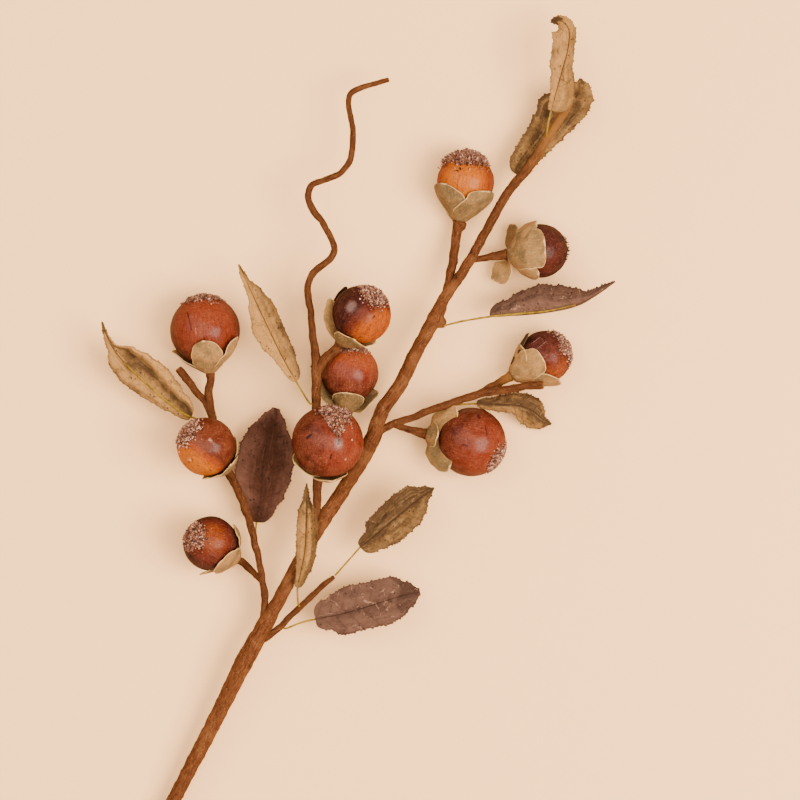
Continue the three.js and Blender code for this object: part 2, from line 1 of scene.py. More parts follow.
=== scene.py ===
import math
import bmesh
import bpy
import numpy as np
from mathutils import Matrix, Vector


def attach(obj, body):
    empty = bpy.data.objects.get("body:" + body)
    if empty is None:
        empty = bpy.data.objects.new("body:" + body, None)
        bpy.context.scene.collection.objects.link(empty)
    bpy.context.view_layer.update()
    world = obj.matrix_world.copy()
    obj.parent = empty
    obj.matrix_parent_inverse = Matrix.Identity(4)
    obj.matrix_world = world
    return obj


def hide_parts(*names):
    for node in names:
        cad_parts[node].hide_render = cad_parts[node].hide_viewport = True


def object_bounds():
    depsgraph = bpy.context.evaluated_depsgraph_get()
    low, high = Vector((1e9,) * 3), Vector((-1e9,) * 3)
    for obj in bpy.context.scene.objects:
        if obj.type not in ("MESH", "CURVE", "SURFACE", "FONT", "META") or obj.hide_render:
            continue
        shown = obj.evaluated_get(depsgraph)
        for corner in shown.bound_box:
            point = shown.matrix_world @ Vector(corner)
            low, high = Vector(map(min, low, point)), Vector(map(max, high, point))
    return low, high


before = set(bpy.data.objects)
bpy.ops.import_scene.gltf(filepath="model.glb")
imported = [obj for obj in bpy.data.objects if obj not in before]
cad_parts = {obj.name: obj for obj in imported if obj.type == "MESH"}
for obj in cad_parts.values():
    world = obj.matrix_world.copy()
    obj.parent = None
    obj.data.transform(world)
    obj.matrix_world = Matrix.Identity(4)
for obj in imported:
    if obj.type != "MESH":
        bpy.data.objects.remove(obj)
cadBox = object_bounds()
print("frame loaded")

# The branch in its own plan, in mm: x to the right, y along the branch, z above the table.
# axis: the way a fruit points away from its stalk; slope in degrees and heel: its calyx's cone
fruits = [
    {"at": (102.2, 235, 16.8), "radius": 17.7, "axis": (-0.11, 0.98, 0.12), "slope": 36, "heel": 2.7},
    {"at": (103.4, 176.8, 27.4), "radius": 14.75, "axis": (-0.5, 0.62, 0.6), "slope": 42, "heel": 2.8},
    {"at": (105, 128.3, 20.5), "radius": 13.75, "axis": (-0.71, 0.46, 0.53), "slope": 43, "heel": 3},
    {"at": (164.4, 179.5, 45), "radius": 18, "axis": (0.1, 0.6, 0.79), "slope": 41, "heel": 3},
    {"at": (174.8, 213.5, 14.9), "radius": 14.5, "axis": (0.05, 0.98, 0.2), "slope": 46, "heel": 3},
    {"at": (181, 242.5, 35), "radius": 14.75, "axis": (0.54, 0.72, 0.43), "slope": 44, "heel": 3.4},
    {"at": (233, 309.5, 13.6), "radius": 14.5, "axis": (0.17, 0.96, 0.2), "slope": 48, "heel": 3.8},
    {"at": (270.8, 275, 12.85), "radius": 13.75, "axis": (0.98, 0.1, 0.12), "slope": 38, "heel": 3.2},
    {"at": (273, 221.8, 14), "radius": 13.25, "axis": (0.87, 0.49, 0.05), "slope": 52, "heel": 3.5},
    {"at": (235.9, 179, 16.6), "radius": 17.5, "axis": (0.97, -0.17, 0.12), "slope": 44, "heel": 3.7},
]
perMetre = 1000  # mm
pieceNumbers = range(1, len(fruits) + 1)  # there are as many leaves as fruits

# The first seed of each use of random numbers
seeds = {
    "stick": 20, "bark": 40, "grit": 70, "stalk": 60, "fruit": 90, "skin": 190, "crust": 300, "grains": 500,
    "clumps": 700, "calyx": 800, "petal": 850, "leaf": 900, "waves": 950, "wrinkles": 970,
}


def nodePoints(name):
    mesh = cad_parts[name].data
    points = np.empty(len(mesh.vertices) * 3)
    mesh.vertices.foreach_get("co", points)
    return points.reshape(-1, 3)


# From the plan in mm to the frame in metres: fruit 4's centre is known in both
planShift = nodePoints("fruit_4").mean(axis=0) - np.array(fruits[3]["at"]) / perMetre
lowest = 0.05  # mm above the table, as far as anything reaches down
highest = (cadBox[1][2] - planShift[2]) * perMetre - lowest


def unit(values):
    values = np.asarray(values, float)
    return values / np.maximum(np.linalg.norm(values, axis=-1, keepdims=True), 1e-9)


rippleSize = {"waves": 8, "lengths": (0.6, 1.7), "height": 1.7}


def ripple(points, length, seed):
    # A smooth uneven value of about -1 to 1 with the given wave length
    draw = np.random.default_rng(seed)
    waves = rippleSize["waves"]
    directions = unit(draw.normal(size=(waves, 3)))
    numbers = directions * (math.tau / (length * draw.uniform(*rippleSize["lengths"], (waves, 1))))
    phases = draw.uniform(0, math.tau, waves)
    return np.sin(points @ numbers.T + phases).mean(axis=-1) * rippleSize["height"]


def eased(share):
    return share * share * (3 - 2 * share)


def smoothly(values, low, high):
    return eased(np.clip((values - low) / (high - low), 0, 1))


def spansOf(places, count):
    # The span that each place lies in, among count even ones, and how far along it
    span = np.clip(np.floor(places * count).astype(int), 0, count - 1)
    return span, places * count - span


def alongList(values, places):
    # The values at even stations, eased between them
    values = np.asarray(values, float)
    span, part = spansOf(places, len(values) - 1)
    return values[span] + (values[span + 1] - values[span]) * eased(part)


def curvePoints(points, places):
    # Centripetal Catmull-Rom through the points
    points = np.asarray(points, float)[:, :3]
    padded = np.vstack([2 * points[0] - points[1], points, 2 * points[-1] - points[-2]])
    span, part = spansOf(places, len(points) - 1)
    part = part[:, None]
    p0, p1, p2, p3 = (padded[span + step] for step in range(4))
    pairs = (p0, p1), (p1, p2), (p2, p3)
    d0, d1, d2 = (np.sum((after - before) ** 2, axis=1, keepdims=True) ** 0.25 for before, after in pairs)
    m1 = ((p1 - p0) / d0 - (p2 - p0) / (d0 + d1) + (p2 - p1) / d1) * d1
    m2 = ((p2 - p1) / d1 - (p3 - p1) / (d1 + d2) + (p3 - p2) / d2) * d1
    c2 = -3 * p1 + 3 * p2 - 2 * m1 - m2
    c3 = 2 * p1 - 2 * p2 + m1 + m2
    return p1 + m1 * part + c2 * part ** 2 + c3 * part ** 3


def evenPlaces(points, spacing, fineness=60, fewest=4):
    # Places along a curve that are evenly spaced in mm, with their lengths from its start
    fine = np.linspace(0, 1, fineness * len(points))
    steps = np.linalg.norm(np.diff(curvePoints(points, fine), axis=0), axis=1)
    lengths = np.concatenate([[0], np.cumsum(steps)])
    wanted = np.linspace(0, lengths[-1], max(int(lengths[-1] / spacing), fewest) + 1)
    return np.interp(wanted, lengths, fine), wanted


def turned(axis):
    # Rows: the side, the front that faces up from the table, and the axis
    up = unit(axis)
    front = unit(np.array([0, 0, 1]) - up * up[2])
    return np.array([np.cross(front, up), front, up])


def ringAngles(count):
    return np.linspace(0, math.tau, count, endpoint=False)


def roundAxis(reach, angle, height):
    # Points round the third axis, at a reach from it
    return np.stack([reach * np.cos(angle), reach * np.sin(angle), height], axis=-1)


def gridFaces(rows, columns, closed):
    # Faces of a grid of points; closed joins the last column to the first
    across = np.arange(columns if closed else columns - 1)
    row, column = np.meshgrid(np.arange(rows - 1), across, indexing="ij")
    following = (column + 1) % columns
    corners = [row * columns + column, row * columns + following,
               (row + 1) * columns + following, (row + 1) * columns + column]
    return np.stack([corner.ravel() for corner in corners], axis=1)


def placed(name, data):
    made = bpy.data.objects.new(name, data)
    bpy.context.collection.objects.link(made)
    return made


class Shape:
    # Points in plan mm, faces and values of one piece, gathered part by part
    def __init__(self):
        self.points, self.faces, self.values, self.count = [], [], {}, 0

    def add(self, points, faces, **values):
        points = points.reshape(-1, 3)
        self.points.append(points)
        self.faces += [[corner + self.count for corner in face] for face in faces]
        for name, value in values.items():
            value = np.full(len(points), value) if np.ndim(value) == 0 else value
            self.values.setdefault(name, []).append(value.reshape(len(points), -1))
        self.count += len(points)

    def build(self, node, slot, angle):
        # angle: edges sharper than this many degrees stay sharp
        mesh = bpy.data.meshes.new(node)
        points = np.vstack(self.points)
        points[:, 2] = np.clip(points[:, 2], lowest, highest)
        mesh.from_pydata((points / perMetre + planShift).tolist(), [], self.faces)
        for key, parts in self.values.items():
            value = np.vstack(parts)
            kind, field = ("FLOAT_VECTOR", "vector") if value.shape[1] == 3 else ("FLOAT", "value")
            mesh.attributes.new(key, kind, "POINT").data.foreach_set(field, value.ravel())
        mesh.update()
        mesh.validate()
        mesh.polygons.foreach_set("use_smooth", [True] * len(mesh.polygons))
        mesh.set_sharp_from_angle(angle=math.radians(angle))
        mesh.materials.append(materials[slot])
        piece = placed(node, mesh)
        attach(piece, "root")
        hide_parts(node)


def addSheet(shape, middle, thickness, **values):
    # A closed sheet about a grid of points, with a rim round it
    rows, columns = middle.shape[:2]
    normals = unit(np.cross(np.gradient(middle, axis=1), np.gradient(middle, axis=0)))
    lift = normals * thickness[..., None] / 2
    faces = gridFaces(rows, columns, False)
    count = rows * columns
    index = np.arange(count).reshape(rows, columns)
    rim = np.concatenate([index[0, :], index[1:, -1], index[-1, -2::-1], index[-2:0:-1, 0]])
    following = np.roll(rim, -1)
    sides = np.stack([following, rim, rim + count, following + count], axis=1)
    both = np.vstack([(middle + lift).reshape(-1, 3), (middle - lift).reshape(-1, 3)])
    doubled = {name: np.concatenate([value.reshape(count, -1)] * 2) for name, value in values.items()}
    shape.add(both, np.vstack([faces, faces[:, ::-1] + count, sides]).tolist(), **doubled)


def addSweep(shape, centres, radii, sides, relief, lumps=(), **values):
    # A round body along centres, its ends closed; each lump is a place, its height and its reach
    directions = unit(np.gradient(centres, axis=0))
    outs = []
    out = np.array([0.0, 0.0, 1.0])
    for direction in directions:
        out = unit(out - direction * (out @ direction))
        outs.append(out)
    outs = np.array(outs)
    asides = np.cross(directions, outs)
    angles = ringAngles(sides)
    ring = outs[:, None] * np.cos(angles)[:, None] + asides[:, None] * np.sin(angles)[:, None]
    points = centres[:, None] + ring * (radii[:, None] + relief)[..., None]
    for place, height, reach in lumps:
        away = np.linalg.norm(points - np.array(place), axis=-1, keepdims=True)
        points = points + ring * height * np.exp(-(away / reach) ** 6)
    faces = gridFaces(len(centres), sides, True).tolist()
    last = (len(centres) - 1) * sides
    faces += [list(range(sides))[::-1], list(range(last, last + sides))]
    shape.add(points, faces, **values)


def linear(colour):
    # A colour given as 0 to 255 in sRGB, as the linear values that a node takes
    shares = np.array(colour) / 255
    curved = np.where(shares <= 0.04045, shares / 12.92, ((shares + 0.055) / 1.055) ** 2.4)
    return [*curved.tolist(), 1]


class Link:
    # A node's output that can be reckoned with
    def __init__(self, tree, socket):
        self.tree, self.socket = tree, socket

    def node(self, kind, settings, values, output=0):
        made = self.tree.nodes.new("ShaderNode" + kind)
        for name, value in settings.items():
            setattr(made, name, value)
        for name, value in values.items():
            if isinstance(value, Link):
                self.tree.links.new(value.socket, made.inputs[name])
            else:
                made.inputs[name].default_value = value
        return Link(self.tree, made.outputs[output])

    def math(self, operation, first, second):
        return self.node("Math", {"operation": operation}, {0: first, 1: second})

    def __add__(self, other):
        return self.math("ADD", self, other)

    def __radd__(self, other):
        return self.math("ADD", other, self)

    def __sub__(self, other):
        return self.math("SUBTRACT", self, other)

    def __rsub__(self, other):
        return self.math("SUBTRACT", other, self)

    def __mul__(self, other):
        return self.math("MULTIPLY", self, other)

    def __rmul__(self, other):
        return self.math("MULTIPLY", other, self)

    def band(self, low, high):
        # 0 below low and 1 above high, or the other way round, and smooth between them
        settings = {"interpolation_type": "SMOOTHSTEP"}
        return self.node("MapRange", settings, {"Value": self, "From Min": low, "From Max": high})

    def value(self, name):
        return self.node("Attribute", {"attribute_name": name}, {}, "Fac")

    def vector(self, name):
        return self.node("Attribute", {"attribute_name": name}, {}, "Vector")

    def combine(self, operation, first, second, output=0):
        return self.node("VectorMath", {"operation": operation}, {0: first, 1: second}, output)

    def scaled(self, factors):
        return self.combine("MULTIPLY", self, factors)

    def fromLine(self, plan, start, end):
        # Distance in mm of a plan position from a line between two plan points
        along = np.subtract(end, start)
        away = self.combine("SUBTRACT", plan, (*start, 0))
        share = self.combine("DOT_PRODUCT", away, (*(along / max(along @ along, 1e-6)), 0), 1)
        share = self.math("MINIMUM", self.math("MAXIMUM", share, 0), 1)
        step = self.node("CombineXYZ", {}, {0: share * along[0], 1: share * along[1]})
        return self.combine("LENGTH", self.combine("SUBTRACT", away, step), (0, 0, 0), 1)

    def noise(self, vector, scale, detail=3.0, roughness=0.55):
        values = {"Vector": vector, "Scale": scale, "Detail": detail, "Roughness": roughness}
        return self.node("TexNoise", {}, values)

    def specks(self, vector, scale, size, patchScale, patches, detail=1):
        # Spots at scattered points, size being their outer and inner reach, in patches of a noise
        distance = self.node("TexVoronoi", {}, {"Vector": vector, "Scale": scale}, "Distance")
        return distance.band(*size) * self.noise(vector, patchScale, detail).band(*patches)

    def mix(self, share, first, second):
        first = linear(first) if isinstance(first, tuple) else first
        second = linear(second) if isinstance(second, tuple) else second
        return self.node("Mix", {"data_type": "RGBA"}, {0: share, 6: first, 7: second}, 2)

    def tinted(self, look, *tints):
        # This colour with tints of a look laid over it in turn, each by its share
        colour = self
        for share, name in tints:
            colour = self.mix(share, colour, look[name])
        return colour


materials = {}


def newMaterial(name):
    material = bpy.data.materials.new(name)
    material.use_nodes = True
    materials[name] = material
    start = Link(material.node_tree, None)
    return start, start.node("TexCoord", {}, {}, "Object").scaled([perMetre] * 3)  # places in mm


def fill(bump, depth, shine=0.06, **inputs):
    # depth is the bump's height in mm
    links = bump.tree.links
    shader = bump.tree.nodes["Principled BSDF"]
    for name, value in inputs.items():
        socket = shader.inputs[name.replace("_", " ")]
        if isinstance(value, Link):
            links.new(value.socket, socket)
        else:
            socket.default_value = value
    shader.inputs["Specular IOR Level"].default_value = shine
    values = {"Height": bump, "Distance": depth / perMetre, "Strength": 1.0}
    links.new(bump.node("Bump", {}, values).socket, shader.inputs["Normal"])


woodLook = {
    "base": (83, 45, 22), "light": (118, 72, 39), "dark": (29, 13, 7), "speck": (186, 134, 82),
    "cut": (128, 84, 38), "grain": 0.6, "relief": 0.62, "shine": 0.03,
}


def makeWoodMaterial():
    look = woodLook
    start, place = newMaterial("wood")
    grain, seam = start.vector("grain"), start.value("seam")
    broad = start.noise(place, 0.12, 3)
    streaks = start.noise(grain.scaled((0.3, 1.2, 1.2)), look["grain"], 6, 0.65)
    fine = start.noise(grain.scaled((0.5, 2.6, 2.6)), 0.6, 4, 0.65)
    speck = start.specks(place, 0.8, (0.17, 0.10), 0.5, (0.5, 0.6))
    colour = start.mix(streaks.band(0.30, 0.46), look["dark"], look["base"]).tinted(look,
        (broad.band(0.45, 0.65) * 0.4, "light"), (fine.band(0.52, 0.66) * 0.5, "light"),
        (fine.band(0.48, 0.38) * 0.4, "dark"), (start.value("thin") * 0.3, "dark"),
        (seam.band(0.09, 0.01) * 0.8, "dark"), (seam.band(0.88, 0.98) * 0.35, "light"),
        (speck * 0.5, "speck"), (start.value("cut"), "cut"))
    fill(streaks * 0.6 + fine * 0.4, look["relief"], look["shine"], Base_Color=colour,
         Roughness=0.52 + 0.3 * streaks)


# Marks in plan mm: start, end, half width, tint and strength
fruitMarks = {
    "fruit_red": [
        ((94.2, 243.5), (95.6, 238.6), 0.32, (60, 20, 14), 0.85),
        ((95.6, 238.6), (96.4, 234.8), 0.3, (60, 20, 14), 0.8),
        ((98.4, 237), (98.9, 232.4), 0.26, (214, 150, 120), 0.4),
        ((170.2, 180.6), (170.1, 178.2), 1.5, (200, 138, 108), 0.35),
        ((170.2, 181), (170, 179), 0.85, (70, 60, 62), 0.95),
        ((154.6, 181.4), (156.6, 183), 0.55, (30, 14, 16), 0.95),
        ((162.2, 177.6), (162.6, 178), 0.5, (70, 18, 14), 0.9),
        ((166, 171.4), (166.6, 173.2), 0.42, (44, 14, 14), 0.9),
        ((176.6, 180.4), (176.6, 180.6), 0.35, (226, 156, 124), 0.7),
        ((173.3, 170.8), (173.4, 171.2), 0.45, (216, 136, 100), 0.7),
        ((239, 192.4), (239.4, 191.4), 0.75, (52, 22, 22), 0.9),
        ((242.4, 187), (243.3, 182.4), 0.3, (58, 22, 20), 0.8),
        ((231, 178), (233.4, 177), 0.35, (60, 22, 20), 0.7),
        ((226, 186), (226.2, 185.6), 0.4, (60, 22, 20), 0.7),
    ],
    "fruit_orange": [
        ((97.5, 181.5), (98.3, 180.2), 0.4, (92, 34, 16), 0.8),
        ((106.6, 172.5), (107, 171.8), 0.35, (92, 34, 16), 0.8),
        ((225.5, 208.5), (225.8, 208), 0.35, (120, 54, 24), 0.8),
        ((229, 206), (229.3, 205.7), 0.3, (120, 54, 24), 0.8),
        ((234.4, 213.6), (235.4, 212.6), 0.3, (120, 54, 24), 0.7),
        ((106, 180.4), (106.6, 179.8), 0.8, (190, 130, 108), 0.6),
        ((107.6, 178.6), (108.6, 177.4), 0.7, (176, 116, 92), 0.5),
        ((107.4, 178), (108, 177.4), 0.3, (70, 30, 20), 0.8),
        ((95.4, 171), (96.2, 170.4), 0.6, (240, 190, 130), 0.6),
        ((95.2, 169.2), (95.6, 169), 0.4, (110, 50, 20), 0.8),
        ((244.4, 315.5), (245.4, 308), 2.4, (116, 50, 20), 0.55),
    ],
    "fruit_dark": [
        ((181.5, 236.5), (184, 239.4), 0.2, (150, 96, 70), 0.4),
        ((175.6, 245.4), (176.4, 246.6), 2.2, (150, 118, 110), 0.3),
        ((266.4, 228.6), (270, 231.4), 0.2, (170, 120, 104), 0.5),
        ((268.6, 225.8), (273, 229.2), 0.2, (170, 120, 104), 0.45),
        ((186.8, 240.6), (187.4, 241.2), 0.4, (50, 20, 10), 0.8),
        ((102.6, 131), (105.4, 129.6), 0.2, (170, 110, 90), 0.4),
    ],
}
# edge: a mark's outer and inner reach as shares of its half width; marks lighter than bright are worn
markLook = {"edge": (1.5, 0.4), "bright": 380, "worn": (0.40, 0.52), "depth": 0.8}
# low: the shaded side, high: the bright side, bloom: the dull veil on top
fruitLooks = {
    "fruit_red": {
        "low": (58, 17, 9), "mid": (98, 33, 15), "high": (143, 61, 24), "bloom": (124, 62, 42),
        "dark": (34, 8, 5), "glint": (196, 120, 84), "coat": 0.18, "streaks": 0.5,
    },
    "fruit_orange": {
        "low": (72, 26, 15), "mid": (128, 47, 6), "high": (168, 86, 0), "bloom": (148, 78, 46),
        "dark": (78, 24, 6), "glint": (206, 136, 86), "coat": 0.18, "streaks": 0.5,
    },
    "fruit_dark": {
        "low": (38, 12, 9), "mid": (80, 27, 13), "high": (158, 72, 10), "bloom": (108, 57, 45),
        "dark": (22, 7, 5), "glint": (176, 118, 98), "coat": 0.11, "streaks": 0.8,
    },
}


def makeFruitMaterial(slot):
    look = fruitLooks[slot]
    start, place = newMaterial(slot)
    plan = start.combine("SUBTRACT", place, tuple(planShift * perMetre)).scaled((1, 1, 0))
    skin = start.vector("skin")
    broad = start.noise(place, 0.11, 3)
    mottle = start.noise(place, 0.5, 5, 0.65)
    fine = start.noise(place, 1.1, 5, 0.75)
    streaks = start.noise(skin.scaled((0.9, 8.0, 8.0)), 1.3, 5, 0.7)
    hairs = start.noise(skin.scaled((1.6, 26.0, 26.0)), 1.0, 3, 0.6)
    scratches = start.noise(skin.scaled((3.0, 34.0, 34.0)), 2.4, 1, 0.5).band(0.71, 0.76)
    wrinkles = start.noise(skin.scaled((0.6, 6.0, 6.0)), 1.1, 2, 0.5) - 0.5
    veil = start.noise(place, 0.16, 4, 0.6).band(0.28, 0.66) * start.value("veil")
    specks = start.specks(place, 0.6, (0.20, 0.12), 0.2, (0.46, 0.56))
    grit = start.specks(place, 1.4, (0.24, 0.14), 0.35, (0.5, 0.62))
    glints = start.specks(place, 0.35, (0.09, 0.05), 0.25, (0.56, 0.62))
    lit = start.value("shade") * 0.6 + broad * 0.2 + (mottle - 0.5) * 0.3 + 0.22
    colour = start.mix(lit.band(0.1, 0.52), look["low"], look["mid"]).tinted(look,
        (lit.band(0.5, 0.95) * 0.9, "high"),
        (streaks.band(0.50, 0.72) * look["streaks"], "low"),
        (mottle.band(0.52, 0.68) * 0.5, "low"),
        (mottle.band(0.42, 0.28) * lit.band(0.2, 0.7) * 0.35, "high"),
        (veil * 0.5, "bloom"),
        (fine.band(0.52, 0.68) * 0.5, "low"),
        (fine.band(0.45, 0.31) * (0.14 + 0.24 * veil), "glint"),
        (hairs.band(0.54, 0.70) * 0.4, "bloom"),
        (hairs.band(0.46, 0.32) * 0.3, "low"),
        (scratches * 0.5, "bloom"), (specks * 0.7, "dark"), (grit * 0.5, "dark"),
        (glints * 0.7, "glint"))
    bump = streaks * 0.9 + mottle * 0.7 + hairs * 0.35 + fine * 0.5 - specks * 0.6
    bump = bump - (wrinkles * wrinkles).band(0.003, 0.0) * 0.5
    outer, inner = markLook["edge"]
    for first, last, width, tint, strength in fruitMarks[slot]:
        mark = start.fromLine(plan, first, last).band(width * outer, width * inner)
        if sum(tint) > markLook["bright"]:
            mark = mark * fine.band(*markLook["worn"])
        colour = start.mix(mark * strength, colour, tint)
        bump = bump - mark * markLook["depth"]
    fill(bump, 0.44, 0.0, Base_Color=colour, Roughness=0.36 + 0.22 * mottle + 0.15 * veil,
         Coat_Weight=look["coat"], Coat_Roughness=0.24)


# deep: the darkest grains, and the crust under them as painted shade in the gaps between grains
frostLook = {"deep": (46, 20, 13), "body": (120, 73, 53), "pale": (208, 160, 132)}


def makeFrostMaterial():
    look = frostLook
    start, place = newMaterial("frost")
    glint = start.value("glint")
    mottle = start.noise(place, 0.9, 3)
    # Grains with a high glint turn pale: painted glints
    colour = start.mix(glint.band(0.05, 0.42), look["deep"], look["body"]).tinted(look,
        (glint.band(0.45, 0.9) * mottle.band(0.3, 0.6), "pale"))
    fill(start.noise(place, 3.0, 2), 0.08, 0.25, Base_Color=colour, Roughness=0.5 - 0.22 * glint)


calyxLook = {
    "base": (146, 105, 60), "olive": (99, 77, 48), "brown": (84, 48, 22), "pale": (206, 166, 108),
    "speck": (62, 36, 22), "dark": (34, 20, 14),
}


def makeCalyxMaterial():
    look = calyxLook
    start, place = newMaterial("calyx")
    broad = start.noise(place, 0.16, 4, 0.6)
    mottle = start.noise(place, 0.8, 4, 0.65)
    fibre = start.noise(start.vector("petal").scaled((1.2, 6.0, 3.0)), 2.0, 5, 0.65)
    specks = start.specks(place, 0.8, (0.24, 0.14), 0.35, (0.50, 0.60))
    # The petal's tone, a random tone with painted shade in the hollows of its crumple, mixes base towards
    # olive
    olive = broad.band(0.42, 0.62) * 0.5 + start.value("tone")
    colour = start.mix(olive, look["base"], look["olive"]).tinted(look,
        (start.value("foot") * 0.55, "brown"),
        (fibre.band(0.52, 0.72) * 0.4, "brown"),
        (fibre.band(0.46, 0.30) * 0.3, "pale"),
        (mottle.band(0.52, 0.72) * 0.2, "pale"),
        (mottle.band(0.44, 0.28) * 0.35, "brown"),
        (start.value("edge").band(0.4, 0.85) * (0.45 + 0.6 * mottle), "pale"),
        # dark: painted shade on petals that show a shaded side, and a slightly darker colour on two of calyx
        # 7's
        (specks * 0.8, "speck"), (start.value("dark"), "dark"))
    fill(fibre * 0.7 + broad * 0.5 + mottle * 0.5, 0.35, Base_Color=colour, Roughness=0.78)


# fibre, crease and rib: how strongly each shows
leafLooks = {
    "leaf_tan": {
        "base": (160, 114, 62), "shade": (68, 47, 28), "pale": (200, 156, 100), "blot": (50, 32, 18),
        "rim": (70, 45, 25), "fibre": 0.2, "crease": 0.12, "rib": 0.8,
    },
    "leaf_mauve": {
        "base": (91, 62, 49), "shade": (60, 40, 31), "pale": (150, 112, 88), "blot": (38, 20, 14),
        "rim": (48, 28, 20), "fibre": 0.12, "crease": 0.5, "rib": 0.7,
    },
    "leaf_umber": {
        "base": (91, 58, 45), "shade": (54, 28, 17), "pale": (114, 80, 66), "blot": (20, 8, 5),
        "rim": (28, 12, 7), "fibre": 0.2, "crease": 0.15, "rib": 0.3,
    },
}


def makeLeafMaterial(slot):
    look = leafLooks[slot]
    start, place = newMaterial(slot)
    blade, vein, aside = start.vector("blade"), start.value("vein"), start.value("aside")
    broad = start.noise(place, 0.10, 4, 0.6)
    mottle = start.noise(place, 0.55, 5, 0.65)
    fine = start.noise(place, 1.2, 4, 0.7)
    tissue = start.noise(blade, 1.2, 4, 0.6)
    fibres = start.noise(blade.scaled((0.14, 0.9, 1.0)), 1.3, 5, 0.65)
    folds = start.noise(place, 0.14, 2, 0.4) - 0.5
    beside = folds - 0.02
    creases = (folds * folds).band(0.00016, 0.00001) * start.noise(place, 0.2, 1).band(0.5, 0.6)
    ridges = (beside * beside).band(0.0003, 0.00001) * start.noise(place, 0.3, 2).band(0.52, 0.62)
    rib = (aside * aside).band(0.2, 0.02) * start.value("rib")
    specks = start.specks(place, 0.34, (0.18, 0.11), 0.12, (0.44, 0.5))
    pepper = start.specks(place, 1.1, (0.34, 0.16), 0.3, (0.42, 0.58), 2)
    # The blade's tone, its own colour with painted shade in folds and hollows, mixes base towards shade
    tone = start.value("tone") + (broad - 0.5) * 1.3 + (mottle - 0.5) * 0.4
    colour = start.mix(tone.band(0.0, 1.0), look["base"], look["shade"]).tinted(look,
        (mottle.band(0.56, 0.74) * 0.45, "blot"),
        (mottle.band(0.42, 0.28) * 0.25, "base"),
        (fine.band(0.52, 0.70) * 0.35, "shade"),
        (fine.band(0.45, 0.25) * 0.3, "base"),
        (vein * 0.25, "shade"),
        (fibres.band(0.53, 0.66) * look["fibre"], "shade"),
        (fibres.band(0.46, 0.34) * look["fibre"] * 0.8, "pale"),
        (creases * 0.35, "blot"), (ridges * look["crease"], "pale"),
        (rib * look["rib"], "blot"), (start.value("edge").band(0.9, 1.0) * 0.5, "rim"),
        (specks * 0.9, "blot"), (pepper * 0.4, "blot"))
    bump = mottle * 0.5 + tissue * 0.4 - vein * 0.25 - creases * 0.3 + fine * 0.15
    fill(bump + fibres * 0.5 + broad * 1.5, 0.8, Base_Color=colour, Roughness=0.66 + 0.15 * mottle)


leafStalkLook = {"base": (138, 108, 26), "shade": (98, 72, 18), "spot": (84, 56, 22)}


def makeLeafStalkMaterial():
    look = leafStalkLook
    start, place = newMaterial("leaf_stalk")
    broad = start.noise(place, 0.3, 3)
    colour = start.mix(broad.band(0.38, 0.66), look["base"], look["shade"]).tinted(look,
        (start.noise(place, 1.6, 2).band(0.56, 0.7) * 0.4, "spot"))
    fill(start.noise(place, 1.8, 3), 0.15, Base_Color=colour, Roughness=0.6)


makeWoodMaterial()
for slotName in fruitLooks:
    makeFruitMaterial(slotName)
makeFrostMaterial()
makeCalyxMaterial()
for slotName in leafLooks:
    makeLeafMaterial(slotName)
makeLeafStalkMaterial()
print("materials made")

calyxSize = {"offset": 1.35, "thickness": 0.5, "thinRim": 0.6}


def calyxShape(fruit):
    # The round part's radius, the cone's slope and heel, its length, and the heel's distance from the middle
    radius = fruit["radius"] + calyxSize["offset"]
    slope = math.radians(fruit["slope"])
    heel = fruit["heel"]
    cone = (radius * math.sin(slope) - heel) / math.cos(slope)
    distance = radius / math.cos(slope) - heel * math.tan(slope)
    return radius, slope, heel, cone, distance


